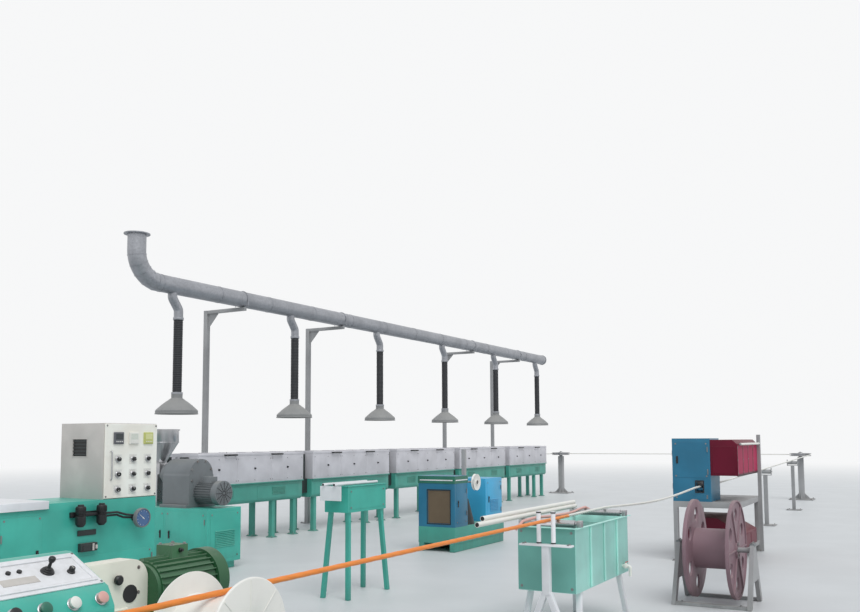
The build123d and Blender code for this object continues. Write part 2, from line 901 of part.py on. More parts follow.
control_x = (drive_stop_x - control_width, drive_stop_x)
control_y = (drive_front_y + panel_thickness, drive_front_y + control_depth)
control_top_z = drive_height + control_height
with BuildPart() as control_cabinet:
    block(control_x, control_y, (drive_height, control_top_z))
    fillet(control_cabinet.edges().filter_by(Axis.Z).group_by(Axis.Y)[-1], corner_radius)
    vent_y = around(drive_front_y + 0.56 * control_depth, vent_width)
    vent_z = (control_top_z - vent_drop - vent_height, control_top_z - vent_drop)
    block((control_x[0], control_x[0] + vent_depth), vent_y, vent_z, Mode.SUBTRACT)
    for step in range(vent_slat_count):
        slat_z = vent_z[0] + vent_height * (step + 0.5) / vent_slat_count
        block((control_x[0] + 2, control_x[0] + vent_depth), vent_y, around(slat_z, vent_slat_height))
    door("x", control_x[1], 1, (control_y[0] + door_margin, control_y[1] - door_margin),
         (drive_height + door_margin, control_top_z - door_margin))
save(control_cabinet, "control_cabinet")

with BuildPart() as control_panel:
    with BuildSketch(Plane.XZ.offset(-control_y[0])):
        with Locations(((control_x[0] + control_x[1]) / 2, drive_height + control_height / 2)):
            RectangleRounded(control_width - 2 * panel_margin, control_height - 2 * panel_margin,
                             corner_radius)
    extrude(amount=panel_thickness)
    block(around(control_x[0] + panel_handle_inset, panel_handle_width),
          (drive_front_y - panel_handle_reach, drive_front_y),
          around(drive_height + 0.44 * control_height, panel_handle_length))
save(control_panel, "control_panel")

with BuildPart() as control_knobs:
    for column in range(knob_columns):
        column_x = control_x[0] + 0.24 * control_width + knob_column_pitch * column
        meter_z = drive_height + 0.8 * control_height
        block(around(column_x, meter_size), (drive_front_y - meter_reach, drive_front_y),
              around(meter_z, meter_size))
        for row in range(knob_rows):
            knob_z = drive_height + knob_first_row + knob_row_pitch * row
            skirt_y = drive_front_y - knob_skirt_reach
            rod("y", (skirt_y, drive_front_y), (column_x, knob_z), knob_skirt_radius)
            rod("y", (drive_front_y - knob_reach, skirt_y), (column_x, knob_z), knob_radius)
save(control_knobs, "control_knobs")

with BuildPart() as air_unit:
    unit_x = drive_start_x + air_unit_offset
    unit_y = drive_front_y - air_bowl_reach
    gauge_x = unit_x + gauge_offset
    gauge_z = drive_height - gauge_drop
    socket_x = unit_x + air_bowl_spacing / 2 + 10
    block((unit_x - air_bracket_end, unit_x + air_bowl_spacing + air_bracket_end),
          (drive_front_y - air_bracket_reach, drive_front_y), around(drive_height - air_unit_drop,
                                                                     air_bracket_height))
    for place in (unit_x, unit_x + air_bowl_spacing):
        rod("z", around(drive_height - air_unit_drop - 10, air_bowl_length), (place, unit_y),
            air_bowl_radius)
        rod("z", around(drive_height - air_unit_drop - 10, air_neck_length), (place, unit_y),
            air_neck_radius)
    rod("x", (unit_x + air_bowl_spacing, gauge_x), (unit_y, drive_height - air_pipe_drop), air_pipe_radius)
    rod("y", (drive_front_y - gauge_reach + air_bracket_reach, drive_front_y), (gauge_x, gauge_z),
        air_neck_radius)
    rod("y", (drive_front_y - gauge_reach, drive_front_y - gauge_reach + gauge_depth), (gauge_x, gauge_z),
        gauge_radius)
    block(around(socket_x, socket_plate_width), (drive_front_y - socket_plate_reach, drive_front_y),
          around(drive_height - socket_plate_drop, socket_plate_height))
    block(around(socket_x, socket_width), (drive_front_y - socket_reach, drive_front_y),
          around(drive_height - socket_drop, socket_height))
save(air_unit, "air_unit")

# Extruder, across the line, with its head on the curing axis
extruder_front_y = cure_axis_y - crosshead_radius
with BuildPart() as extruder_base:
    base_x = around(extruder_x, extruder_base_width)
    base_y = (extruder_rear_y, extruder_front_y - extruder_base_stop)
    block(base_x, base_y, (extruder_plinth, extruder_base_height))
    fillet(extruder_base.edges().filter_by(Axis.Z), corner_radius)
    block((base_x[0] + extruder_plinth_setback, base_x[1] - extruder_plinth_setback),
          (base_y[0] + extruder_plinth_setback, base_y[1] - extruder_plinth_setback), (0, extruder_plinth))
    base_door_z = (extruder_plinth + door_sill, extruder_base_height - door_margin)
    base_middle_y = (base_y[0] + base_y[1]) / 2
    for face, side in ((base_x[0], -1), (base_x[1], 1)):
        door("x", face, side, (base_y[0] + door_margin, base_middle_y - door_margin / 2), base_door_z)
        door("x", face, side, (base_middle_y + door_margin / 2, base_y[1] - door_margin), base_door_z)
    door("y", base_y[0], -1, (base_x[0] + door_margin, base_x[1] - door_margin), base_door_z)
save(extruder_base, "extruder_base")

gearbox_y = (extruder_rear_y + gearbox_offset, extruder_rear_y + gearbox_offset + gearbox_length)
with BuildPart() as extruder_gearbox:
    with BuildSketch(Plane.XZ.offset(-gearbox_y[0])):
        with Locations((extruder_x, extruder_base_height + gearbox_height / 2)):
            RectangleRounded(gearbox_width, gearbox_height, gearbox_corner)
        with Locations((extruder_x, cure_cable_z)):
            Circle(gearbox_boss_radius)
        with Locations((extruder_x, extruder_base_height + gearbox_foot_height / 2)):
            Rectangle(gearbox_foot_width, gearbox_foot_height)
    extrude(amount=-gearbox_length)
    motor_z = extruder_base_height + extruder_motor_height
    motor_start_y = extruder_rear_y + extruder_motor_margin
    shield_y = motor_start_y + motor_cowl_length
    rod("y", (motor_start_y, shield_y), (extruder_x, motor_z), extruder_motor_radius + motor_cowl_rim)
    finned_motor(Plane(origin=(extruder_x, shield_y, motor_z), z_dir=(0, 1, 0)),
                 gearbox_y[0] - shield_y, extruder_motor_radius, motor_fin_count)
    block(around(extruder_x, terminal_box_size), around((shield_y + gearbox_y[0]) / 2, terminal_box_size),
          (motor_z, motor_z + extruder_motor_radius + terminal_box_height))
    rod("y", (gearbox_y[1], gearbox_y[1] + gearbox_nose_length), (extruder_x, cure_cable_z),
        gearbox_nose_radius)
save(extruder_gearbox, "extruder_gearbox")

barrel_start_y = gearbox_y[1] + gearbox_nose_length
with BuildPart() as extruder_barrel:
    barrel_span = extruder_front_y - barrel_start_y
    rod("y", (barrel_start_y, extruder_front_y), (extruder_x, cure_cable_z), barrel_radius)
    for step in range(heater_count):
        heater_y = barrel_start_y + barrel_span * (0.42 + 0.15 * step)
        rod("y", around(heater_y, heater_length * 0.9), (extruder_x, cure_cable_z), heater_radius)
    rod("y", (extruder_front_y - barrel_flange_length, extruder_front_y), (extruder_x, cure_cable_z),
        barrel_radius + barrel_flange_rim)
    feed_y = barrel_start_y + 0.17 * barrel_span
    hopper_z = cure_cable_z + feed_throat
    block(around(extruder_x, feed_width), around(feed_y, feed_width - 10), (cure_cable_z, hopper_z))
    block(around(extruder_x, feed_foot_width), around(feed_y, feed_throat),
          (extruder_base_height, cure_cable_z))
save(extruder_barrel, "extruder_barrel")

with BuildPart() as extruder_hopper:
    cone_top_z = hopper_z + hopper_cone_height
    hopper_top_z = cone_top_z + hopper_wall_height
    for level, radius in ((hopper_z, hopper_throat_radius), (cone_top_z, hopper_radius)):
        with BuildSketch(Plane.XY.offset(level)):
            with Locations((extruder_x, feed_y)):
                Circle(radius)
    loft()
    rod("z", (cone_top_z, hopper_top_z), (extruder_x, feed_y), hopper_radius)
    rod("z", (hopper_top_z - hopper_rim, hopper_top_z), (extruder_x, feed_y), hopper_radius + hopper_rim)
    for level, radius in ((hopper_z + hopper_wall, hopper_throat_radius - hopper_wall),
                          (cone_top_z, hopper_radius - hopper_wall)):
        with BuildSketch(Plane.XY.offset(level)):
            with Locations((extruder_x, feed_y)):
                Circle(radius)
    loft(mode=Mode.SUBTRACT)
    rod("z", (cone_top_z, hopper_top_z), (extruder_x, feed_y), hopper_radius - hopper_wall, Mode.SUBTRACT)
save(extruder_hopper, "extruder_hopper")

crosshead_x = around(extruder_x, crosshead_length)
nozzle_stop_x = crosshead_x[1] + nozzle_length
with BuildPart() as crosshead:
    rod("x", crosshead_x, (cure_axis_y, cure_cable_z), crosshead_radius)
    flange_x = (crosshead_x[1] - crosshead_flange_length, crosshead_x[1])
    rod("x", flange_x, (cure_axis_y, cure_cable_z), crosshead_radius + crosshead_flange)
    rod("x", (crosshead_x[0] - cable_entry_length, nozzle_stop_x), (cure_axis_y, cure_cable_z),
        nozzle_radius)
    block(around(extruder_x, crosshead_neck), (extruder_front_y, cure_axis_y),
          around(cure_cable_z, crosshead_neck))
    block(around(extruder_x, crosshead_column), around(cure_axis_y, crosshead_column), (0, cure_cable_z))
    block(around(extruder_x, crosshead_foot), around(cure_axis_y, crosshead_foot), (0, foot_plate_thickness))
save(crosshead, "crosshead")

# Capstan station
capstan_stop_x = capstan_x + capstan_length
cabinet_y = around(capstan_cabinet_y, capstan_cabinet_width)
guard_front_y = cabinet_y[0] - guard_depth
with BuildPart() as capstan_frame:
    table_z = (capstan_table_height - capstan_table_thickness, capstan_table_height)
    rail_z = (table_z[0] - capstan_leg_size, table_z[0])
    block((capstan_x, capstan_stop_x), (guard_front_y, cabinet_y[1]), table_z)
    leg_rows = (guard_front_y + capstan_leg_size / 2, cabinet_y[1] - capstan_leg_size / 2)
    leg_columns = (capstan_x + capstan_leg_size / 2, capstan_stop_x - capstan_leg_size / 2)
    for row_y in leg_rows:
        block((capstan_x, capstan_stop_x), around(row_y, capstan_leg_size), rail_z)
        block((capstan_x, capstan_stop_x), around(row_y, capstan_leg_size),
              (lower_guard_z - capstan_leg_size, lower_guard_z))
        for column_x in leg_columns:
            block(around(column_x, capstan_leg_size), around(row_y, capstan_leg_size), (0, table_z[0]))
    for column_x in leg_columns:
        block(around(column_x, capstan_leg_size), (leg_rows[0], leg_rows[1]), rail_z)
    block((capstan_x, capstan_stop_x), (leg_rows[0], leg_rows[1]), (lower_guard_z - 6, lower_guard_z))
    post_x = capstan_stop_x - capstan_leg_size / 2
    block(around(post_x, capstan_post_size), (guard_front_y - capstan_post_size, guard_front_y),
          (0, capstan_post_height))
    rod("x", (capstan_x + capstan_leg_size, post_x),
        (guard_front_y - capstan_post_size * 0.68,
         capstan_post_height - capstan_rod_drop), capstan_rod_radius)
save(capstan_frame, "capstan_frame")

with BuildPart() as capstan_cabinet:
    cabinet_x = (capstan_x, capstan_x + capstan_cabinet_length)
    cabinet_top_z = capstan_table_height + capstan_cabinet_height
    block(cabinet_x, cabinet_y, (capstan_table_height, cabinet_top_z))
    fillet(capstan_cabinet.edges().filter_by(Axis.Z), corner_radius)
    door("y", cabinet_y[1], 1, (cabinet_x[0] + door_margin, cabinet_x[1] - door_margin),
         (capstan_table_height + door_margin, cabinet_top_z - door_margin))
    slot_span = around(return_axis_y, capstan_slot)
    block(cabinet_x, slot_span, around(return_cable_z, capstan_slot_height), Mode.SUBTRACT)
    for place in (cabinet_x[0] + slot_roller_inset, cabinet_x[1] - slot_roller_inset):
        slot_roller_z = return_cable_z - cable_radius - seat_gap - slot_roller_radius
        rod("y", around(return_axis_y, capstan_slot - 16), (place, slot_roller_z), slot_roller_radius)
        rod("y", around(return_axis_y, capstan_slot + 10), (place, slot_roller_z), slot_roller_pin)
save(capstan_cabinet, "capstan_cabinet")

with BuildPart() as capstan_guards:
    with BuildSketch(Plane.YZ.offset(capstan_x)):
        with BuildLine():
            Polyline(
                (cabinet_y[0], upper_guard_z),
                (cabinet_y[0], upper_guard_z + upper_guard_height),
                (guard_front_y + guard_chamfer, upper_guard_z + upper_guard_height),
                (guard_front_y, upper_guard_z + upper_guard_height - guard_chamfer),
                (guard_front_y, upper_guard_z),
                close=True,
            )
        make_face()
    extrude(amount=capstan_length)
    with BuildSketch(Plane.YZ.offset(capstan_x + lower_guard_inset)):
        with BuildLine():
            Polyline(
                (cabinet_y[1] - lower_guard_rear, lower_guard_z),
                (cabinet_y[1] - lower_guard_rear, lower_guard_z + lower_guard_height),
                (cabinet_y[0], lower_guard_z + lower_guard_height),
                (guard_front_y, lower_guard_z + lower_guard_height / 2),
                (guard_front_y, lower_guard_z),
                close=True,
            )
        make_face()
    extrude(amount=capstan_length - 2 * lower_guard_inset)
save(capstan_guards, "capstan_guards")

# Steel reel on its stand
reel_half = reel_width / 2
reel_outline = [
    (reel_shaft_radius + running_gap, -reel_half),
    (reel_hub_radius, -reel_half),
    (reel_hub_radius, -reel_half + reel_rim),
    (reel_flange_radius - reel_rim, -reel_half + reel_rim),
    (reel_flange_radius - reel_rim, -reel_half),
    (reel_flange_radius, -reel_half),
    (reel_flange_radius, -reel_half + reel_flange_thickness),
    (reel_core_radius, -reel_half + reel_flange_thickness),
    (reel_core_radius, reel_half - reel_flange_thickness),
    (reel_flange_radius, reel_half - reel_flange_thickness),
    (reel_flange_radius, reel_half),
    (reel_flange_radius - reel_rim, reel_half),
    (reel_flange_radius - reel_rim, reel_half - reel_rim),
    (reel_hub_radius, reel_half - reel_rim),
    (reel_hub_radius, reel_half),
    (reel_shaft_radius + running_gap, reel_half),
]
steel_reel = turned_part(reel_outline, (reel_x, reel_y, reel_axis_z), "y")
with steel_reel:
    with Locations(Plane.XZ.offset(-reel_y - reel_half) * Pos(reel_x, reel_axis_z)):
        with PolarLocations(reel_hole_ring, reel_hole_count, start_angle=30):
            Hole(reel_hole_radius, reel_width)
    rib_length = reel_flange_radius - reel_rim - reel_hub_radius + 2
    for side in (-1, 1):
        rib_y = reel_y + side * (reel_half - reel_rim / 2)
        with Locations(Location((reel_x, rib_y, reel_axis_z), (90, 0, 0))):
            with PolarLocations(reel_hub_radius - 1 + rib_length / 2, reel_hole_count):
                Box(rib_length, reel_rib_width, reel_rim)
save(steel_reel, "steel_reel")

with BuildPart() as reel_stand:
    stand_rows = (front_edge_y, reel_y + reel_half + reel_side_gap)
    stand_top_z = reel_axis_z + reel_stand_head
    for row_y in stand_rows:
        with BuildSketch(Plane.XZ.offset(-row_y)):
            with BuildLine():
                Polyline(
                    (reel_x - reel_stand_foot, 0),
                    (reel_x - reel_stand_head, stand_top_z),
                    (reel_x + reel_stand_head, stand_top_z),
                    (reel_x + reel_stand_foot, 0),
                    (reel_x + reel_stand_foot - reel_stand_leg, 0),
                    (reel_x + reel_stand_arch_width, reel_stand_arch),
                    (reel_x - reel_stand_arch_width, reel_stand_arch),
                    (reel_x - reel_stand_foot + reel_stand_leg, 0),
                    close=True,
                )
            make_face()
        extrude(amount=-reel_cheek)
    shaft_y = (stand_rows[0] + 5, stand_rows[1] + reel_cheek - 5)
    rod("y", shaft_y, (reel_x, reel_axis_z), reel_shaft_radius)
    for side in (-1, 1):
        skid_x = around(reel_x + side * (reel_stand_foot - reel_stand_leg / 2), reel_skid_size)
        block(skid_x, (stand_rows[0], stand_rows[1] + reel_cheek), (0, reel_skid_height))
save(reel_stand, "reel_stand")

# Cooling tank
tank_x_span = (tank_x, tank_x + tank_length)
tank_y_span = around(tank_y, tank_width)
with BuildPart() as tank_shell:
    block(tank_x_span, tank_y_span, (tank_bottom_z, tank_top_z))
    fillet(tank_shell.edges().filter_by(Axis.Z), corner_radius)
    block(
        (tank_x - tank_rim, tank_x + tank_length + tank_rim),
        (tank_y_span[0] - tank_rim, tank_y_span[1] + tank_rim),
        (tank_top_z - tank_wall, tank_top_z),
    )
    block(
        (tank_x + tank_wall, tank_x + tank_length - tank_wall),
        (tank_y_span[0] + tank_wall, tank_y_span[1] - tank_wall),
        (tank_bottom_z + tank_wall, tank_top_z),
        Mode.SUBTRACT,
    )
save(tank_shell, "tank_shell")

with BuildPart() as tank_legs:
    for side_x, head_x in ((-1, tank_x + tank_leg_inset), (1, tank_x + tank_length - tank_leg_inset)):
        for side_y in (-1, 1):
            head_y = tank_y + side_y * (tank_width / 2 - tank_leg_size)
            foot = (head_x + side_x * tank_leg_splay, head_y + side_y * tank_leg_spread, 0)
            leaning_bar(foot, (head_x, head_y, tank_bottom_z), tank_leg_size)
save(tank_legs, "tank_legs")

roller_axis_z = return_cable_z - cable_radius - seat_gap - tank_roller_radius
bearing_top_z = roller_axis_z + tank_bearing_height
with BuildPart() as tank_rollers:
    for place in (tank_x + tank_roller_inset, tank_x + tank_length - tank_roller_inset):
        rod("y", around(tank_y, tank_width - 2 * tank_bearing_depth), (place, roller_axis_z),
            tank_roller_radius)
        rod("y", around(tank_y, tank_width + tank_rim), (place, roller_axis_z), tank_roller_pin)
        for side in (-1, 1):
            bearing_y = tank_y + side * (tank_width / 2 + 1)
            block(around(place, tank_bearing_width), around(bearing_y, tank_bearing_depth),
                  (tank_top_z, bearing_top_z))
save(tank_rollers, "tank_rollers")

with BuildPart() as tank_tubes:
    for step, reach in enumerate(tube_reaches):
        tube_y = tank_y + tank_width / 2 - tank_wall + step * (2 * tube_radius - tube_overlap)
        tube_z = bearing_top_z + tube_radius + step * tube_step
        rod("x", (tank_x - reach, tank_x + tank_length - tube_end_margin), (tube_y, tube_z), tube_radius)
save(tank_tubes, "tank_tubes")

with BuildPart() as tank_guide:
    guide_x = tank_x - guide_offset
    guide_top_z = guide_plate_z + guide_plate_thickness
    block(around(guide_x, guide_column_size), around(return_axis_y, guide_column_size),
          (guide_column_foot, guide_plate_z))
    for side in (-1, 1):
        leaning_bar((guide_x, return_axis_y + side * guide_leg_spread, 0),
                    (guide_x, return_axis_y + side * guide_leg_head, guide_column_foot + 20), guide_leg_size)
    block(around(guide_x, guide_plate_depth), around(return_axis_y, guide_plate_width),
          (guide_plate_z, guide_top_z))
    for side in (-1, 1):
        roller_y = return_axis_y + side * guide_roller_spacing
        rod("z", (guide_top_z, return_cable_z + guide_roller_above), (guide_x, roller_y),
            guide_roller_radius)
    rod("y", around(return_axis_y, 2 * guide_roller_spacing),
        (guide_x, return_cable_z - cable_radius - seat_gap - guide_cross_radius), guide_cross_radius)
save(tank_guide, "tank_guide")

# Take-up station
bobbin_axis_z = return_cable_z - cable_radius - seat_gap - bobbin_core_radius
bobbin_half = bobbin_width / 2
bobbin_outline = [
    (bobbin_shaft_radius + running_gap, -bobbin_half - bobbin_flange_thickness),
    (bobbin_hub_radius, -bobbin_half - bobbin_flange_thickness),
    (bobbin_flange_radius - bobbin_rim_round, -bobbin_half - bobbin_flange_thickness),
    (bobbin_flange_radius, -bobbin_half - bobbin_flange_thickness + bobbin_rim_round),
    (bobbin_flange_radius, -bobbin_half - 4),
    (bobbin_core_radius, -bobbin_half + 6),
    (bobbin_core_radius, bobbin_half - 6),
    (bobbin_flange_radius, bobbin_half + 4),
    (bobbin_flange_radius, bobbin_half + bobbin_flange_thickness - bobbin_rim_round),
    (bobbin_flange_radius - bobbin_rim_round, bobbin_half + bobbin_flange_thickness),
    (bobbin_hub_radius, bobbin_half + bobbin_flange_thickness),
    (bobbin_shaft_radius + running_gap, bobbin_half + bobbin_flange_thickness),
]
for label, place in (("takeup_bobbin", takeup_bobbin_x), ("guide_bobbin", guide_bobbin_x)):
    save(turned_part(bobbin_outline, (place, return_axis_y, bobbin_axis_z), "y"), label)

cheek_y = bobbin_half + bobbin_flange_thickness + cheek_clearance
with BuildPart() as takeup_frame:
    frame_x = (near_end_x, near_end_x + takeup_length)
    takeup_middle_x = near_end_x + takeup_length / 2
    frame_y = around(return_axis_y, takeup_width)
    block(frame_x, frame_y, (takeup_plinth, takeup_height))
    fillet(takeup_frame.edges().filter_by(Axis.Z), corner_radius)
    block((frame_x[0] + takeup_plinth_setback, frame_x[1] - takeup_plinth_setback),
          (frame_y[0] + takeup_plinth_setback, frame_y[1] - takeup_plinth_setback), (0, takeup_plinth))
    for face, side in ((frame_y[0], -1), (frame_y[1], 1)):
        for door_start, door_stop in ((frame_x[0], takeup_middle_x), (takeup_middle_x, frame_x[1])):
            door("y", face, side, (door_start + door_margin, door_stop - door_margin),
                 (takeup_plinth + door_sill, takeup_height - door_margin))
    for place in (takeup_bobbin_x, guide_bobbin_x):
        for side in (-1, 1):
            inner_y = return_axis_y + side * cheek_y
            with BuildSketch(Plane.XZ.offset(-inner_y)):
                with BuildLine():
                    Polyline(
                        (place - cheek_foot, takeup_height),
                        (place - cheek_head, bobbin_axis_z + cheek_head),
                        (place + cheek_head, bobbin_axis_z + cheek_head),
                        (place + cheek_foot, takeup_height),
                        close=True,
                    )
                make_face()
            extrude(amount=-side * cheek_thickness)
        shaft_half = cheek_y + cheek_thickness
        rod("y", around(return_axis_y, 2 * shaft_half), (place, bobbin_axis_z), bobbin_shaft_radius)
        knob_y = return_axis_y - shaft_half
        rod("y", (knob_y - shaft_knob_length, knob_y), (place, bobbin_axis_z), shaft_knob_radius)
save(takeup_frame, "takeup_frame")

console_front_y = console_y - console_depth / 2
console_rear_y = console_y + console_depth / 2
slope_foot = (console_front_y + console_ledge_depth, console_slope_foot_z)
slope_head = (console_rear_y - console_top_depth, console_height)
with BuildPart() as takeup_console:
    with BuildSketch(Plane.YZ.offset(console_x - console_width / 2)):
        with BuildLine():
            Polyline(
                (console_front_y, 0),
                (console_front_y, console_ledge_z),
                slope_foot,
                slope_head,
                (console_rear_y, console_height),
                (console_rear_y, 0),
                close=True,
            )
        make_face()
    extrude(amount=console_width)
    fillet(takeup_console.edges().filter_by(Axis.Z).group_by(Axis.Y)[0], corner_radius)
save(takeup_console, "takeup_console")

slope_plane = Plane(
    origin=(console_x, (slope_foot[0] + slope_head[0]) / 2, (slope_foot[1] + slope_head[1]) / 2),
    x_dir=(1, 0, 0),
    z_dir=(0, -(slope_head[1] - slope_foot[1]), slope_head[0] - slope_foot[0]),
)
with BuildPart() as console_panel:
    with BuildSketch(slope_plane):
        RectangleRounded(desk_width, desk_depth, desk_corner)
    extrude(amount=desk_thickness)
    with BuildSketch(slope_plane.offset(desk_thickness)):
        RectangleRounded(desk_rim_width, desk_rim_depth, desk_corner)
        RectangleRounded(desk_rim_width - 2 * desk_rim_bar, desk_rim_depth - 2 * desk_rim_bar,
                         desk_corner / 2,
                         mode=Mode.SUBTRACT)
    extrude(amount=desk_thickness)
    with BuildSketch(slope_plane.offset(desk_thickness)):
        with Locations(stick_place):
            Circle(stick_radius)
        with Locations(dial_place):
            Circle(dial_radius)
    extrude(amount=dial_height)
save(console_panel, "console_panel")

with BuildPart() as takeup_motor:
    motor_span = around(motor_x, motor_length)
    shield_x = motor_span[0] - motor_shield_length
    shaft_x = shield_x - motor_shaft_length
    finned_motor(Plane(origin=(motor_span[0], motor_y, motor_axis_z), z_dir=(1, 0, 0)),
                 motor_length, motor_radius, motor_fin_count)
    cowl_x = (motor_span[1], motor_span[1] + motor_cowl_length)
    rod("x", cowl_x, (motor_y, motor_axis_z), motor_radius + motor_cowl_rim)
    rod("x", (shield_x, motor_span[0]), (motor_y, motor_axis_z), motor_radius - motor_shield_step)
    rod("x", (shaft_x, shield_x), (motor_y, motor_axis_z), motor_shaft_radius)
    block(around(motor_x, motor_length - 2 * motor_shield_step), around(motor_y, motor_foot_width),
          (motor_pedestal_height, motor_axis_z - motor_radius / 2))
    block(around(motor_x, terminal_box_size), around(motor_y, terminal_box_size),
          (motor_axis_z, motor_axis_z + motor_radius + terminal_box_height))
    block(around(motor_x, motor_pedestal_length), around(motor_y, motor_pedestal_width),
          (0, motor_pedestal_height))
save(takeup_motor, "takeup_motor")

with BuildPart() as belt_guard:
    guard_span_x = (console_x + console_width / 2, shield_x)
    guard_middle_x = (guard_span_x[0] + guard_span_x[1]) / 2
    guard_length = guard_span_x[1] - guard_span_x[0]
    guard_floor_z = motor_axis_z - belt_guard_height / 2
    with BuildSketch(Plane.XZ.offset(-(motor_y + belt_guard_setback))):
        with Locations((guard_middle_x, motor_axis_z)):
            RectangleRounded(guard_length - 2, belt_guard_height, belt_guard_round)
        with Locations((guard_span_x[0] + guard_length / 6, motor_axis_z)):
            Rectangle(guard_length / 3, belt_guard_height)
        with Locations((guard_middle_x, guard_floor_z / 2)):
            Rectangle(belt_guard_foot, guard_floor_z)
    extrude(amount=belt_guard_width)
    rod("x", (shaft_x, motor_span[0]), (motor_y, motor_axis_z), motor_shaft_radius + 4, Mode.SUBTRACT)
save(belt_guard, "belt_guard")

# Guide trough between the runs
trough_x_span = around(trough_x, trough_length)
trough_y_span = around(trough_y, trough_width)
trough_top_z = trough_bottom_z + trough_height
with BuildPart() as guide_trough:
    block(trough_x_span, trough_y_span, (trough_bottom_z, trough_top_z))
    block(
        (trough_x_span[0] + trough_wall, trough_x_span[1] - trough_wall),
        (trough_y_span[0] + trough_wall, trough_y_span[1] - trough_wall),
        (trough_bottom_z + trough_wall, trough_top_z),
        Mode.SUBTRACT,
    )
    for side_x in (-1, 1):
        for side_y in (-1, 1):
            head_x = trough_x + side_x * (trough_length / 2 - trough_leg_inset)
            head_y = trough_y + side_y * trough_leg_row
            foot = (head_x + side_x * trough_leg_splay[0], head_y + side_y * trough_leg_splay[1], 0)
            leaning_bar(foot, (head_x, head_y, trough_bottom_z), trough_leg_size)
save(guide_trough, "guide_trough")

with BuildPart() as trough_tubes:
    for side in (-1, 1):
        tube_y = trough_y + side * trough_tube_row
        rod("x", (trough_x_span[0] - trough_tube_reach, trough_x_span[1] - trough_leg_inset),
            (tube_y, trough_top_z + trough_tube_radius), trough_tube_radius)
    bracket_start_x = trough_x_span[0] - trough_tube_reach + trough_bracket_inset
    bracket_stop_x = bracket_start_x + trough_bracket_thickness
    bracket_z = trough_top_z - trough_bracket_height
    block((bracket_start_x, bracket_stop_x), around(trough_y, trough_bracket_width),
          (bracket_z, trough_top_z))
    block((bracket_stop_x, trough_x_span[0]), around(trough_y, trough_bracket_width / 2),
          around(bracket_z + trough_bracket_inset, trough_bracket_thickness))
save(trough_tubes, "trough_tubes")

# Haul-off unit between the runs
haul_x_span = (haul_x, haul_x + haul_length)
haul_y_span = around(haul_y, haul_width)
with BuildPart() as haul_base:
    block(haul_x_span, haul_y_span, (haul_skid_height, haul_base_height))
    for side in (-1, 1):
        skid_y = haul_y + side * (haul_width / 2 - haul_skid_width / 2 - 10)
        block(haul_x_span, around(skid_y, haul_skid_width), (0, haul_skid_height))
save(haul_base, "haul_base")

with BuildPart() as haul_cabinet:
    haul_cabinet_x = (haul_x, haul_x + haul_cabinet_length)
    block(haul_cabinet_x, haul_y_span, (haul_base_height, haul_cabinet_top))
    fillet(haul_cabinet.edges().filter_by(Axis.Z), corner_radius)
    block((haul_x, haul_x + haul_recess_depth), around(haul_y - haul_recess_shift, haul_recess_width),
          (haul_base_height + door_margin, haul_recess_top), Mode.SUBTRACT)
    door("y", haul_y_span[0], -1, (haul_cabinet_x[0] + door_margin, haul_cabinet_x[1] - door_margin),
         (haul_base_height + door_margin, haul_cabinet_top - door_margin))
save(haul_cabinet, "haul_cabinet")

with BuildPart() as haul_drive:
    haul_drive_x = (haul_x + haul_drive_start, haul_x + haul_length)
    haul_drive_y = around(haul_y, haul_width - 2 * haul_drive_margin)
    block(haul_drive_x, haul_drive_y, (haul_base_height, haul_drive_top))
    fillet(haul_drive.edges().filter_by(Axis.Z), corner_radius)
    door("y", haul_drive_y[0], -1, (haul_drive_x[0] + door_margin, haul_drive_x[1] - door_margin),
         (haul_base_height + door_margin, haul_drive_top - door_margin))
save(haul_drive, "haul_drive")

pulley_x = haul_x + haul_pulley_offset
pulley_y = haul_y - haul_width / 2 - haul_pulley_gap
mast_y = haul_y - haul_width / 2 + haul_mast_setback
with BuildPart() as haul_mast:
    block(around(pulley_x, haul_mast_size), around(mast_y, haul_mast_size),
          (haul_base_height, haul_mast_height))
    rod("y", (pulley_y - 30, mast_y), (pulley_x, haul_pulley_z), haul_pulley_pin)
    with Locations((pulley_x, mast_y, haul_base_height + haul_cone_height / 2)):
        Cone(haul_cone_foot, haul_cone_head, haul_cone_height)
save(haul_mast, "haul_mast")

pulley_half = haul_pulley_width / 2
pulley_web = 9
pulley_outline = [
    (haul_pulley_pin + running_gap, -pulley_half),
    (haul_pulley_hub, -pulley_half),
    (haul_pulley_hub, -pulley_web),
    (haul_pulley_radius - haul_pulley_rim, -pulley_web),
    (haul_pulley_radius, 2 - pulley_half),
    (haul_pulley_radius - 12, -3),
    (haul_pulley_radius - 12, 3),
    (haul_pulley_radius, pulley_half - 2),
    (haul_pulley_radius - haul_pulley_rim, pulley_web),
    (haul_pulley_hub, pulley_web),
    (haul_pulley_hub, pulley_half),
    (haul_pulley_pin + running_gap, pulley_half),
]
save(turned_part(pulley_outline, (pulley_x, pulley_y, haul_pulley_z), "y"), "haul_pulley")

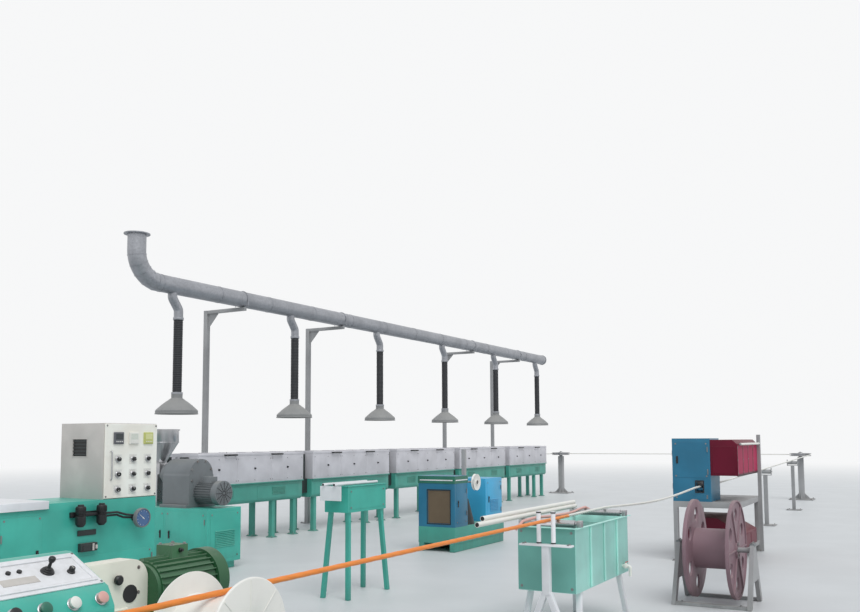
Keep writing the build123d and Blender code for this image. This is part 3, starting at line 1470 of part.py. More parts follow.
# The cable, from the crosshead round both sheaves to the take-up bobbin
far_roller_x = tank_x + tank_length - tank_roller_inset
sag_start_x = capstan_x - cable_sag_margin
sag_span = sag_start_x - far_roller_x
with BuildPart() as cable:
    with BuildLine():
        FilletPolyline(
            (nozzle_stop_x, cure_axis_y, cure_cable_z),
            (cross_x, cure_axis_y, cure_cable_z),
            (cross_x, return_axis_y, cure_cable_z),
            (capstan_stop_x, return_axis_y, return_cable_z),
            (sag_start_x, return_axis_y, return_cable_z),
            (sag_start_x - 0.35 * sag_span, return_axis_y, return_cable_z - cable_sag),
            (far_roller_x + 0.35 * sag_span, return_axis_y, return_cable_z - cable_sag),
            (far_roller_x, return_axis_y, return_cable_z),
            (takeup_bobbin_x, return_axis_y, return_cable_z),
            radius=[
                sheave_path_radius,
                sheave_path_radius,
                roller_kink_radius,
                roller_kink_radius,
                cable_sag_radius,
                cable_sag_radius,
                roller_kink_radius,
            ],
        )
    with BuildSketch(Plane(origin=(nozzle_stop_x, cure_axis_y, cure_cable_z), z_dir=(1, 0, 0))):
        Circle(cable_radius)
    sweep()
save(cable, "cable")
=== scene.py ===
import json
import math

import bmesh
import bpy
from mathutils import Matrix, Vector


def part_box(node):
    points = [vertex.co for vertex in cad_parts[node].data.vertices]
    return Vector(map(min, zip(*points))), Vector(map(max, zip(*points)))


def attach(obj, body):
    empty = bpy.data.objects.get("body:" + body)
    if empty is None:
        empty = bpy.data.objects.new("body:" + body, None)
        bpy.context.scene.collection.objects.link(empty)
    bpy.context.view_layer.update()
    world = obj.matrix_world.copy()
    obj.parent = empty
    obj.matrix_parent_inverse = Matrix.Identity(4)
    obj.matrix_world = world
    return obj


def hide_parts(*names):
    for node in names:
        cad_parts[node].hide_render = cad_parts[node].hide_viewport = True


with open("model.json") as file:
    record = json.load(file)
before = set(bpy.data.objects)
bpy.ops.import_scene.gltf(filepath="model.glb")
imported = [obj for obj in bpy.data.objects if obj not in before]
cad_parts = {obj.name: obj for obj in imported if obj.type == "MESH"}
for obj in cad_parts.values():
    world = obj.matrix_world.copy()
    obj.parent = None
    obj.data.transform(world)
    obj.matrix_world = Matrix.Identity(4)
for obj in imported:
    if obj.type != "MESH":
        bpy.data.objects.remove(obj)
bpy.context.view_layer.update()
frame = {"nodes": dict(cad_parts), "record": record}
nodes = frame["nodes"]
bodyOf = {node: body for body, members in frame["record"]["behaviour"]["bodies"].items() for node in members}
slotOf = {part["node"]: part["material_slot"] for part in frame["record"]["subparts"]}


# camera and lamp

view = {"eye": (-13.4, -6.2, 1.65), "lens": 36.14, "sensor": 36, "reach": 400, "turn": 29.63, "pitch": 4.75,
        "roll": -0.28, "shiftY": 0.072}

camera = bpy.data.objects.new("camera", bpy.data.cameras.new("camera"))
bpy.context.collection.objects.link(camera)
camera.data.sensor_width = view["sensor"]
camera.data.lens = view["lens"]
camera.data.shift_y = view["shiftY"]
camera.data.clip_end = view["reach"]
camera.matrix_world = (
    Matrix.Translation(view["eye"])
    @ Matrix.Rotation(math.radians(view["turn"] - 90), 4, "Z")
    @ Matrix.Rotation(math.radians(90 + view["pitch"]), 4, "X")
    @ Matrix.Rotation(math.radians(view["roll"]), 4, "Z")
)
bpy.context.scene.camera = camera
bpy.context.scene.view_settings.view_transform = "Standard"

light = {"sunStrength": 1.5, "sunSpread": 40, "sunTurn": (34, 8, -50), "sky": 0.72,
         "skyColour": (226, 232, 240), "backdrop": (0.93, 0.935, 0.94)}

sun = bpy.data.objects.new("overheadLamp", bpy.data.lights.new("overheadLamp", "SUN"))
bpy.context.collection.objects.link(sun)
sun.data.energy = light["sunStrength"]
sun.data.angle = math.radians(light["sunSpread"])
sun.rotation_euler = [math.radians(a) for a in light["sunTurn"]]


# node trees

class Wire:
    # one output socket, used in sums like a number
    def __init__(self, tree, socket):
        self.tree = tree
        self.socket = socket

    def node(self, kind, settings=None, inputs=None, output=0):
        made = self.tree.nodes.new(kind)
        for name, value in (settings or {}).items():
            setattr(made, name, value)
        for name, value in (inputs or {}).items():
            if isinstance(value, Wire):
                self.tree.links.new(value.socket, made.inputs[name])
            else:
                made.inputs[name].default_value = value
        return Wire(self.tree, made.outputs[output])

    def sum(self, operation, first, second=0.0):
        return self.node("ShaderNodeMath", {"operation": operation}, {0: first, 1: second})

    def __add__(self, other):
        return self.sum("ADD", self, other)

    def __sub__(self, other):
        return self.sum("SUBTRACT", self, other)

    def __rsub__(self, other):
        return self.sum("SUBTRACT", other, self)

    def __mul__(self, other):
        return self.sum("MULTIPLY", self, other)

    def __truediv__(self, other):
        return self.sum("DIVIDE", self, other)

    __radd__ = __add__
    __rmul__ = __mul__

    def between(self, low, high):
        # 0 below low, 1 above high, smooth between
        steps = {"interpolation_type": "SMOOTHSTEP"}
        return self.node("ShaderNodeMapRange", steps, {0: self, 1: low, 2: high})

    def part(self, axis):
        return self.node("ShaderNodeSeparateXYZ", {}, {0: self}, output=axis)


def srgb(red, green, blue):
    # a colour written as 0 to 255 screen values
    return [((v / 255 + 0.055) / 1.055) ** 2.4 if v > 10 else v / 3294 for v in (red, green, blue)]


def newMaterial(name):
    material = bpy.data.materials.new(name)
    material.use_nodes = True
    tree = material.node_tree
    shader = tree.nodes["Principled BSDF"]
    return material, Wire(tree, None), shader


def connect(wire, shader, name):
    wire.tree.links.new(wire.socket, shader.inputs[name])


def mixColour(make, factor, first, second):
    wires = {0: factor, 6: first if isinstance(first, Wire) else (*first, 1)}
    wires[7] = second if isinstance(second, Wire) else (*second, 1)
    return make.node("ShaderNodeMix", {"data_type": "RGBA"}, wires, output=2)


def noise(make, place, scale, detail=3.0, stretch=None):
    if stretch:
        place = make.node("ShaderNodeMapping", {}, {0: place, 3: stretch})
    return make.node("ShaderNodeTexNoise", {}, {0: place, "Scale": scale, "Detail": detail})


def bump(make, height, strength, distance, under=None):
    wires = {"Height": height, "Strength": strength, "Distance": distance}
    if under:
        wires["Normal"] = under
    return make.node("ShaderNodeBump", {}, wires)


paint = {"dust": srgb(168, 164, 152), "dustAmount": 0.35, "chipColour": srgb(90, 86, 80), "edge": 0.004,
         "peel": 260}


def paintedMetal(name, colour, rough=0.38, dust=1.0, chips=0.6, stain=0.5, specular=0.5):
    # enamel over sheet steel: blotches, orange peel, dust on top faces, scuffed edges, dirt near the floor
    material, make, shader = newMaterial(name)
    place = make.node("ShaderNodeTexCoord", output=3)
    blotch = noise(make, place, 2.3, 4)
    fine = noise(make, place, 34, 3)
    streak = noise(make, place, 9, 3, (1, 1, 0.12))
    normal = make.node("ShaderNodeNewGeometry", output=1)
    soft = make.node("ShaderNodeBevel", {"samples": 4}, {"Radius": paint["edge"]})
    corner = 1 - make.node("ShaderNodeVectorMath", {"operation": "DOT_PRODUCT"}, {0: soft, 1: normal},
                           output=1)
    scuff = (corner * (0.4 + fine * 1.2)).between(0.1, 0.3) * chips
    top = normal.part(2).between(0.55, 0.95) * (fine * 0.5 + blotch).between(0.5, 1.05)
    top = top * (paint["dustAmount"] * dust)
    low = (1 - place.part(2).between(0.0, 0.32)) * (streak + fine * 0.4).between(0.45, 1.0) * (0.55 * stain)
    darker, lighter = [c * 0.9 for c in colour], [min(c * 1.08, 1) for c in colour]
    shade = mixColour(make, blotch.between(0.35, 0.7), darker, lighter)
    shade = mixColour(make, streak.between(0.58, 0.78) * (0.16 * stain), shade, [c * 0.45 for c in colour])
    shade = mixColour(make, top, shade, paint["dust"])
    shade = mixColour(make, low, shade, srgb(96, 92, 84))
    shade = mixColour(make, scuff, shade, paint["chipColour"])
    connect(shade, shader, "Base Color")
    connect(rough + blotch * 0.12 + top * 0.8 + low * 0.5 - 0.05, shader, "Roughness")
    shader.inputs["Specular IOR Level"].default_value = specular
    peel = bump(make, noise(make, place, paint["peel"], 2), 0.05, 0.001)
    connect(bump(make, noise(make, place, 3.1, 2), 0.1, 0.012, peel), shader, "Normal")
    return material


def bareMetal(name, colour, rough=0.32, grain=120, spangle=0.0, rust=0.0):
    # bare steel: fine grain, zinc spangle where asked, a little rust or dirt
    material, make, shader = newMaterial(name)
    place = make.node("ShaderNodeTexCoord", output=3)
    cloud = noise(make, place, 3.4, 4)
    lines = noise(make, place, grain, 3)
    cells = make.node("ShaderNodeTexVoronoi", {"feature": "F1"}, {"Vector": place, "Scale": 42.0}, output=1)
    flake = cells.part(0)
    shade = mixColour(make, flake * spangle, colour, [min(c * 1.5, 1) for c in colour])
    shade = mixColour(make, cloud.between(0.35, 0.75) * 0.4, shade, [c * 0.7 for c in colour])
    shade = mixColour(make, (cloud + lines * 0.3).between(0.62, 0.85) * rust, shade, srgb(120, 82, 58))
    connect(shade, shader, "Base Color")
    connect(rough + cloud * 0.18 + flake * (0.16 * spangle) + rust * 0.1, shader, "Roughness")
    shader.inputs["Metallic"].default_value = 0.85
    connect(bump(make, lines, 0.08, 0.0008), shader, "Normal")
    return material


def moulded(name, colour, rough=0.45, mottle=0.1, coat=0.0):
    # moulded plastic or rubber: faint mottling, fine texture, handling marks
    material, make, shader = newMaterial(name)
    place = make.node("ShaderNodeTexCoord", output=3)
    cloud = noise(make, place, 6.5, 4)
    fine = noise(make, place, 420, 2)
    marks = noise(make, place, 28, 5, (1, 0.3, 1)).between(0.6, 0.8)
    shade = mixColour(make, cloud.between(0.3, 0.75) * (mottle * 4), colour, [c * 0.72 for c in colour])
    shade = mixColour(make, marks * (mottle * 2), shade, srgb(120, 116, 108))
    connect(shade, shader, "Base Color")
    connect(rough + marks * 0.15 + cloud * 0.08, shader, "Roughness")
    shader.inputs["Coat Weight"].default_value = coat
    connect(bump(make, fine, 0.06, 0.0006), shader, "Normal")
    return material


tealPaint = paintedMetal("tealPaint", srgb(69, 180, 162), 0.34)
ovenTeal = paintedMetal("ovenTeal", srgb(73, 158, 142), 0.4)
tankAqua = paintedMetal("tankAqua", srgb(180, 240, 227), 0.36, stain=0.6)
# a darker copy of the tank paint for the end plates: painted shade on the tank's ends
tankShade = paintedMetal("tankShade", srgb(116, 180, 168), 0.4, stain=0.9)
ovenWhite = paintedMetal("ovenWhite", srgb(206, 204, 208), 0.42, chips=0.3)
creamPaint = paintedMetal("creamPaint", srgb(242, 238, 222), 0.4, chips=0.2)
sheetWhite = paintedMetal("sheetWhite", srgb(236, 236, 238), 0.34, chips=0.3)
panelCream = paintedMetal("panelCream", srgb(255, 250, 238), 0.4, chips=0.2)
cabinetGrey = paintedMetal("cabinetGrey", srgb(202, 196, 190), 0.45)
postGrey = paintedMetal("postGrey", srgb(158, 158, 158), 0.45)
hoodGrey = paintedMetal("hoodGrey", srgb(146, 146, 145), 0.5, dust=1.5)
darkGrey = paintedMetal("darkGrey", srgb(46, 52, 52), 0.5)
bluePaint = paintedMetal("bluePaint", srgb(38, 116, 148), 0.36)
skyBluePaint = paintedMetal("skyBluePaint", srgb(68, 172, 215), 0.36)
deepGreenPaint = paintedMetal("deepGreenPaint", srgb(40, 112, 92), 0.4)
crimsonPaint = paintedMetal("crimsonPaint", srgb(104, 16, 42), 0.4, specular=0.22)
# a lighter pink copy of the crimson paint for the guard's lit front face: painted light
rosePaint = paintedMetal("rosePaint", srgb(172, 40, 82), 0.6, specular=0.22)
reelPaint = paintedMetal("reelPaint", srgb(140, 112, 120), 0.55, chips=0.9, stain=0.9)
motorGreen = paintedMetal("motorGreen", srgb(46, 96, 60), 0.42, stain=1.0)
brownPanel = paintedMetal("brownPanel", srgb(104, 88, 68), 0.5)
castGrey = paintedMetal("castGrey", srgb(120, 124, 126), 0.5, stain=0.8)
zincSteel = bareMetal("zincSteel", srgb(156, 158, 163), 0.3, spangle=0.5)
turnedSteel = bareMetal("turnedSteel", srgb(170, 170, 172), 0.26, 160)
brightSteel = bareMetal("brightSteel", srgb(186, 186, 188), 0.2, 200)
boltSteel = bareMetal("boltSteel", srgb(150, 150, 150), 0.35, rust=0.4)
blackPlastic = moulded("blackPlastic", srgb(26, 27, 29), 0.4, 0.04)
whitePlastic = moulded("whitePlastic", srgb(238, 236, 228), 0.38, 0.05)
orangeSheath = moulded("orangeSheath", srgb(240, 138, 52), 0.42, 0.05)
hoseBlack = moulded("hoseBlack", srgb(52, 53, 56), 0.6, 0.1)
padBoard = moulded("padBoard", srgb(158, 148, 124), 0.85, 0.2)
gaugeBlue = moulded("gaugeBlue", srgb(70, 104, 150), 0.25, 0.03, coat=0.6)
redPlastic = moulded("redPlastic", srgb(176, 44, 40), 0.35, 0.03)
pinkHose = moulded("pinkHose", srgb(222, 170, 160), 0.4, 0.05)
rubber = moulded("rubber", srgb(34, 34, 36), 0.65, 0.05)

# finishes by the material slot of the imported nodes, and those that differ for a node
finishes = {
    "teal_paint": tealPaint, "oven_white": ovenWhite, "dark_grey": darkGrey, "black_plastic": blackPlastic,
    "galvanised": zincSteel, "hood_grey": hoodGrey, "grey_paint": postGrey, "cream_paint": creamPaint,
    "sheet_white": sheetWhite, "cast_grey": castGrey, "bright_steel": brightSteel, "blue_paint": bluePaint,
    "light_blue_paint": skyBluePaint, "crimson_paint": crimsonPaint, "reel_paint": reelPaint,
    "white_plastic": whitePlastic, "sheave_steel": turnedSteel, "motor_green": motorGreen,
    "cable_orange": orangeSheath,
}
ownFinish = {
    "oven_bases": ovenTeal, "haul_base": ovenTeal, "tank_shell": tankAqua, "control_cabinet": cabinetGrey,
    "trough_tubes": sheetWhite,
}
usualSlot = {material.name: slot for slot, material in finishes.items()}
usualSlot.update(ovenTeal="teal_paint", tankAqua="teal_paint", tankShade="teal_paint",
                 panelCream="cream_paint", waterSurface="teal_paint", boltSteel="grey_paint",
                 hoseBlack="galvanised", rosePaint="crimson_paint")


def finishOf(node):
    return ownFinish.get(node, finishes[slotOf[node]])


print("materials ready:", len(bpy.data.materials))


# pieces and the ways they are made

edges = {"sharpAngle": 32, "copyAngle": 40, "foldedLimit": 2e-5}


def asPiece(obj, material, slot=None, body="line", stands=(), painted=False):
    # painted: the geometry tree has set the material already
    if not painted:
        obj.data.materials.clear()
        obj.data.materials.append(material)
    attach(obj, body)
    slot = slot or usualSlot[material.name]
    if stands:
        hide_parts(*stands)
    return obj


def meshObject(name, mesh, smooth=True):
    obj = bpy.data.objects.new(name, mesh)
    bpy.context.collection.objects.link(obj)
    if smooth:
        mesh.shade_smooth()
        mesh.set_sharp_from_angle(angle=math.radians(edges["sharpAngle"]))
    return obj


def workMesh(name, work):
    mesh = bpy.data.meshes.new(name)
    work.to_mesh(mesh)
    work.free()
    return mesh


def turnedMesh(name, work):
    bmesh.ops.recalc_face_normals(work, faces=work.faces)
    return workMesh(name, work)


def keep(name, work, material, slot=None, body="line", stands=(), place=None):
    # the finished work as a piece
    if place:
        bmesh.ops.transform(work, matrix=place, verts=work.verts)
    return asPiece(meshObject(name, turnedMesh(name, work)), material, slot, body, stands)


def pieceOf(name, material, parts, slot=None, body="line", stands=(), place=None):
    # parts: a maker and what it is given, for every shape of the piece
    work = bmesh.new()
    for maker, *given in parts:
        maker(work, *given)
    return keep(name, work, material, slot, body, stands, place)


def roundedSolid(node, bevel, segments):
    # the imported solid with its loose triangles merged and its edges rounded
    work = bmesh.new()
    work.from_mesh(nodes[node].data)
    bmesh.ops.remove_doubles(work, verts=work.verts, dist=1e-5)
    bmesh.ops.dissolve_limit(work, angle_limit=math.radians(0.5), verts=work.verts, edges=work.edges)
    if bevel:
        limit = math.radians(edges["copyAngle"])
        sharp = [e for e in work.edges if len(e.link_faces) == 2 and e.calc_face_angle(0) > limit]
        bmesh.ops.bevel(work, geom=sharp, offset=bevel, segments=segments, profile=0.6, affect="EDGES",
                        clamp_overlap=True)
    work.normal_update()
    return work


def foldedArea(work):
    # how much of the surface lies in triangles turned against their own face
    area = 0.0
    for corners in work.calc_loop_triangles():
        first, second, third = (corner.vert.co for corner in corners)
        normal = (second - first).cross(third - first) / 2
        if normal.dot(corners[0].face.normal) < 0:
            area += normal.length
    return area


def cadCopy(node, bevel=0.0, segments=2):
    # a smaller rounding is taken where the first one folds a face
    for width in (bevel, bevel * 0.6, bevel * 0.3, 0.0):
        work = roundedSolid(node, width, segments)
        if foldedArea(work) < edges["foldedLimit"] or not width:
            break
        work.free()
    obj = meshObject(node + "Body", workMesh(node + "Body", work))
    return asPiece(obj, finishOf(node), slotOf[node], bodyOf[node], (node,))


def cadCopies(bevels):
    for node, bevel in bevels.items():
        cadCopy(node, bevel)


def addBox(work, low, high, bevel=0.0, segments=2):
    low, high = Vector(low), Vector(high)
    place = Matrix.Translation((low + high) / 2) @ Matrix.Diagonal((*(high - low), 1))
    made = bmesh.ops.create_cube(work, size=1, matrix=place)["verts"]
    if bevel:
        rim = list(dict.fromkeys(e for v in made for e in v.link_edges))
        bmesh.ops.bevel(work, geom=rim, offset=bevel, segments=segments, profile=0.5, affect="EDGES")


axisTurn = {"Z": Matrix.Identity(4), "Y": Matrix.Rotation(math.radians(-90), 4, "X"),
            "X": Matrix.Rotation(math.radians(90), 4, "Y")}


def addLathe(work, outline, centre=(0, 0, 0), axis="Z", sides=48):
    # outline: (radius, distance along the axis) in order, closed back to its start
    turn = axisTurn[axis]
    rings = []
    for radius, along in outline:
        count = 1 if radius < 1e-6 else sides
        ring = []
        for number in range(count):
            angle = math.tau * number / sides
            spot = Vector((radius * math.cos(angle), radius * math.sin(angle), along))
            ring.append(work.verts.new(Vector(centre) + turn @ spot))
        rings.append(ring)
    for first, second in zip(rings, rings[1:] + rings[:1]):
        if len(first) == 1 and len(second) == 1:
            continue
        for number in range(sides):
            after = (number + 1) % sides
            corners = [first[number % len(first)], first[after % len(first)],
                       second[after % len(second)], second[number % len(second)]]
            corners = list(dict.fromkeys(corners))
            work.faces.new(corners)


def joinRings(work, rings):
    # the skin between each ring of corners and the next
    for first, second in zip(rings, rings[1:]):
        for number in range(len(first)):
            after = (number + 1) % len(first)
            work.faces.new((first[number], first[after], second[after], second[number]))


def addRod(work, start, stop, radius, sides=16, bevel=0.0):
    start, stop = Vector(start), Vector(stop)
    length = (stop - start).length
    turn = (stop - start).to_track_quat("Z", "Y").to_matrix()
    small = min(bevel or radius * 0.12, length / 3)
    rings = []
    outline = [(radius - small, 0), (radius, small), (radius, length - small), (radius - small, length)]
    for width, along in outline:
        ring = []
        for number in range(sides):
            angle = math.tau * number / sides
            spot = Vector((width * math.cos(angle), width * math.sin(angle), along))
            ring.append(work.verts.new(start + turn @ spot))
        rings.append(ring)
    joinRings(work, rings)
    work.faces.new(list(reversed(rings[0])))
    work.faces.new(rings[-1])


def addTube(work, path, radius, sides=16):
    # a round bar through the points, with mitred corners and closed ends
    path = [Vector(point) for point in path]
    rings = []
    for number, point in enumerate(path):
        before = (point - path[number - 1]).normalized() if number else (path[1] - point).normalized()
        after = (path[number + 1] - point).normalized() if number < len(path) - 1 else before
        along = (before + after).normalized()
        stretch = 1 / max(along.dot(before), 0.4)
        side = (side - along * side.dot(along)).normalized() if rings else along.orthogonal().normalized()
        up = along.cross(side)
        bend = after - before
        bend = bend.normalized() if bend.length > 1e-4 else None
        ring = []
        for corner in range(sides):
            angle = math.tau * corner / sides
            spot = (side * math.cos(angle) + up * math.sin(angle)) * radius
            if bend:
                spot += bend * spot.dot(bend) * (stretch - 1)
            ring.append(work.verts.new(point + spot))
        rings.append(ring)
    joinRings(work, rings)
    work.faces.new(rings[0])
    work.faces.new(rings[-1])


def addPlate(work, corners, thickness, axis):
    # a flat plate: corners in the plane across axis, thickness is (from, to) along it
    def spot(pair, along):
        return {"X": (along, *pair), "Y": (pair[0], along, pair[1]), "Z": (*pair, along)}[axis]

    rings = [[work.verts.new(spot(pair, along)) for pair in corners] for along in thickness]
    for ring in rings:
        work.faces.new(ring)
    joinRings(work, rings)


def mergeInto(work, part, matrix):
    # moves a finished part into the work
    bmesh.ops.transform(part, matrix=matrix, verts=part.verts)
    mesh = workMesh("part", part)
    work.from_mesh(mesh)
    bpy.data.meshes.remove(mesh)


def around(middle, width):
    return middle - width / 2, middle + width / 2


sheet = {"gauge": 0.003, "edge": 0.0012}


def proud(work, axis, face, side, first, second, thickness=sheet["gauge"], bevel=sheet["edge"]):
    # a flat plate on a face that looks along axis; first and second are its spans across
    out = sorted((face, face + side * thickness))
    spans = {"X": (out, first, second), "Y": (first, out, second), "Z": (first, second, out)}[axis]
    addBox(work, [span[0] for span in spans], [span[1] for span in spans], bevel, 1)


def cornerSpots(axis, face, side, first, second, inset):
    # a fastener place near each corner of such a plate
    spots = []
    for a in (first[0] + inset, first[1] - inset):
        for b in (second[0] + inset, second[1] - inset):
            spot = {"X": (face, a, b), "Y": (a, face, b), "Z": (a, b, face)}[axis]
            spots.append((spot, {"X": (side, 0, 0), "Y": (0, side, 0), "Z": (0, 0, side)}[axis]))
    return spots


def frameBars(across, up, width):
    # the bars round an opening: below, above, left and right
    whole = (across[0] - width, across[1] + width)
    return [(whole, (up[0] - width, up[0])), (whole, (up[1], up[1] + width)),
            ((across[0] - width, across[0]), up), ((across[1], across[1] + width), up)]


fittings = {"hingeLength": 0.07, "hingeRadius": 0.007, "latchWidth": 0.028, "latchHeight": 0.1,
            "knobRise": 0.024, "cowlBars": 12}


def onFace(axis, along, across, z):
    return {"X": (along, across, z), "Y": (across, along, z)}[axis]


# doors: axis, face, side, hinged edge, hinge heights, place and height of the latch

def doorHinges(name, doors):
    # upright hinge barrels on the edge of each door
    work = bmesh.new()
    half, radius = fittings["hingeLength"] / 2, fittings["hingeRadius"]
    for axis, face, side, edge, heights, *latch in doors:
        for z in heights:
            start, stop = [onFace(axis, face + side * radius * 0.6, edge, end)
                           for end in (z - half, z + half)]
            addRod(work, start, stop, radius, 12)
    keep(name, work, boltSteel)


def doorLatches(name, doors):
    # a handle plate with its turning knob on each door
    work = bmesh.new()
    width, height = fittings["latchWidth"], fittings["latchHeight"]
    for axis, face, side, *hinge, across, z in doors:
        proud(work, axis, face, side, around(across, width), around(z, height), 0.009, 0.004)
        knobZ = z + fittings["knobRise"]
        start, stop = [onFace(axis, face + side * out, across, knobZ) for out in (0.004, 0.017)]
        addRod(work, start, stop, 0.009, 14)
    keep(name, work, blackPlastic)


def addHoop(work, inner, outer, low, high, centre, axis="Z", sides=48):
    addLathe(work, [(inner, low), (outer, low), (outer, high), (inner, high)], centre, axis, sides)


def addDisc(work, radius, thickness, centre, axis="Z", sides=24):
    addLathe(work, [(0, 0), (radius, 0), (radius, thickness), (0, thickness)], centre, axis, sides)


def gland(name, centre, axis, side):
    # a cable gland: nut and dome
    outline = [(0, 0), (0.013, 0), (0.013, 0.012), (0.009, 0.016), (0.009, 0.024), (0, 0.024)]
    outline = [(radius, along * side) for radius, along in outline]
    pieceOf(name, blackPlastic, [(addLathe, outline, centre, axis, 16)])


def cowlGrille(name, centre, axis, side, radii, material):
    # raised rings and bars over the air inlet of a motor's cowl
    pieceOf(name + "Rings", material, [
        (addHoop, radius - 0.004, radius + 0.004, 0, side * 0.004, centre, axis, 40) for radius in radii])
    bar = bmesh.new()
    low, high = sorted((side * -0.0005, side * 0.005))
    addBox(bar, (0.02, -0.003, low), (radii[-1] + 0.012, 0.003, high), 0.001, 1)
    ringOf(name + "Bars", bar, fittings["cowlBars"], centre, axis, blackPlastic, usualSlot[material.name])


def roundedPath(points, radius, steps=6):
    # the same path with each corner turned into an arc
    points = [Vector(point) for point in points]
    path = [points[0]]
    for before, corner, after in zip(points, points[1:], points[2:]):
        inward, outward = (before - corner).normalized(), (after - corner).normalized()
        half = inward.angle(outward) / 2
        if half > math.radians(89.5):
            path.append(corner)
            continue
        reach = min(radius / math.tan(half), (before - corner).length * 0.49, (after - corner).length * 0.49)
        middle = corner + (inward + outward).normalized() * (reach / math.cos(half))
        first, last = corner + inward * reach - middle, corner + outward * reach - middle
        axis, angle = first.rotation_difference(last).to_axis_angle()
        path += [middle + Matrix.Rotation(angle * step / steps, 3, axis) @ first for step in range(steps + 1)]
    path.append(points[-1])
    return path


# geometry trees for what repeats or follows a path

def openTree(name, numbers):
    tree = bpy.data.node_groups.new(name, "GeometryNodeTree")
    tree.interface.new_socket("Geometry", in_out="INPUT", socket_type="NodeSocketGeometry")
    for label, kind in numbers.items():
        tree.interface.new_socket(label, in_out="INPUT", socket_type="NodeSocket" + kind)
    tree.interface.new_socket("Geometry", in_out="OUTPUT", socket_type="NodeSocketGeometry")
    given = tree.nodes.new("NodeGroupInput")
    return tree, Wire(tree, None), {s.name: Wire(tree, s) for s in given.outputs if s.name}


def closeTree(tree, make, shape, material):
    real = make.node("GeometryNodeRealizeInstances", {}, {0: shape})
    painted = make.node("GeometryNodeSetMaterial", {}, {0: real, "Material": material})
    tree.links.new(painted.socket, tree.nodes.new("NodeGroupOutput").inputs[0])
    return tree


def rowTree():
    # copies of a shape in a straight row
    tree, make, given = openTree("row", {"Count": "Int", "Step": "Vector", "Finish": "Material"})
    line = make.node("GeometryNodeMeshLine", {"mode": "OFFSET"},
                     {"Count": given["Count"], "Offset": given["Step"]})
    shape = make.node("GeometryNodeInstanceOnPoints", {}, {0: line, "Instance": given["Geometry"]})
    return closeTree(tree, make, shape, given["Finish"])


def ringTree():
    # copies of a shape turned about the Z axis through the origin
    tree, make, given = openTree("ring", {"Count": "Int", "Turn": "Float", "Finish": "Material"})
    line = make.node("GeometryNodeMeshLine", {"mode": "OFFSET"},
                     {"Count": given["Count"], "Offset": (0, 0, 0)})
    angle = make.node("GeometryNodeInputIndex") * given["Turn"]
    turn = make.node("ShaderNodeCombineXYZ", {}, {2: angle})
    shape = make.node("GeometryNodeInstanceOnPoints", {},
                      {0: line, "Instance": given["Geometry"], "Rotation": turn})
    return closeTree(tree, make, shape, given["Finish"])


def studTree():
    # a hexagon head on a washer at every point, facing along the point's own direction
    tree, make, given = openTree("stud", {"Width": "Float", "Height": "Float", "Finish": "Material"})
    head = make.node("GeometryNodeMeshCylinder", {},
                     {"Vertices": 6, "Radius": given["Width"] * 0.5, "Depth": given["Height"]})
    lift = make.node("ShaderNodeCombineXYZ", {}, {2: given["Height"] * 0.75})
    head = make.node("GeometryNodeTransform", {}, {0: head, "Translation": lift})
    washer = make.node("GeometryNodeMeshCylinder", {}, {"Vertices": 14, "Radius": given["Width"] * 0.85,
                                                        "Depth": given["Height"] * 0.5})
    both = make.node("GeometryNodeJoinGeometry", {}, {0: head})
    tree.links.new(washer.socket, both.socket.node.inputs[0])
    facing = make.node("GeometryNodeInputNamedAttribute", {"data_type": "FLOAT_VECTOR"}, {"Name": "facing"})
    turn = make.node("FunctionNodeAlignRotationToVector", {"axis": "Z"}, {"Vector": facing})
    shape = make.node("GeometryNodeInstanceOnPoints", {},
                      {0: given["Geometry"], "Instance": both, "Rotation": turn})
    return closeTree(tree, make, shape, given["Finish"])


def bandTree():
    # a round band at even steps along a path
    tree, make, given = openTree("band", {"Gap": "Float", "Radius": "Float", "Width": "Float",
                                          "Rise": "Float", "Finish": "Material"})
    path = make.node("GeometryNodeMeshToCurve", {}, {0: given["Geometry"]})
    spots = make.node("GeometryNodeCurveToPoints", {"mode": "LENGTH"}, {0: path, "Length": given["Gap"]})
    spots = Wire(tree, spots.socket.node.outputs["Points"])
    turn = Wire(tree, spots.socket.node.outputs["Rotation"])
    loop = make.node("GeometryNodeCurvePrimitiveCircle", {},
                     {"Resolution": 40, "Radius": given["Radius"] + given["Rise"] * 0.5})
    outline = make.node("GeometryNodeCurvePrimitiveQuadrilateral", {}, {0: given["Rise"], 1: given["Width"]})
    ring = make.node("GeometryNodeCurveToMesh", {}, {0: loop, "Profile Curve": outline})
    shape = make.node("GeometryNodeInstanceOnPoints", {}, {0: spots, "Instance": ring, "Rotation": turn})
    return closeTree(tree, make, shape, given["Finish"])


def hoseTree():
    # a corrugated hose along a path
    tree, make, given = openTree("hose", {"Radius": "Float", "Pitch": "Float", "Depth": "Float",
                                          "Finish": "Material"})
    path = make.node("GeometryNodeMeshToCurve", {}, {0: given["Geometry"]})
    path = make.node("GeometryNodeResampleCurve", {"mode": "LENGTH"},
                     {0: path, "Length": given["Pitch"] * 0.25})
    phase = make.node("GeometryNodeInputIndex") * (math.tau / 4)
    radius = given["Radius"] + phase.sum("SINE", phase) * given["Depth"]
    outline = make.node("GeometryNodeCurvePrimitiveCircle", {}, {"Resolution": 20, "Radius": 1.0})
    shape = make.node("GeometryNodeCurveToMesh", {},
                      {0: path, "Profile Curve": outline, "Scale": radius, "Fill Caps": True})
    return closeTree(tree, make, shape, given["Finish"])


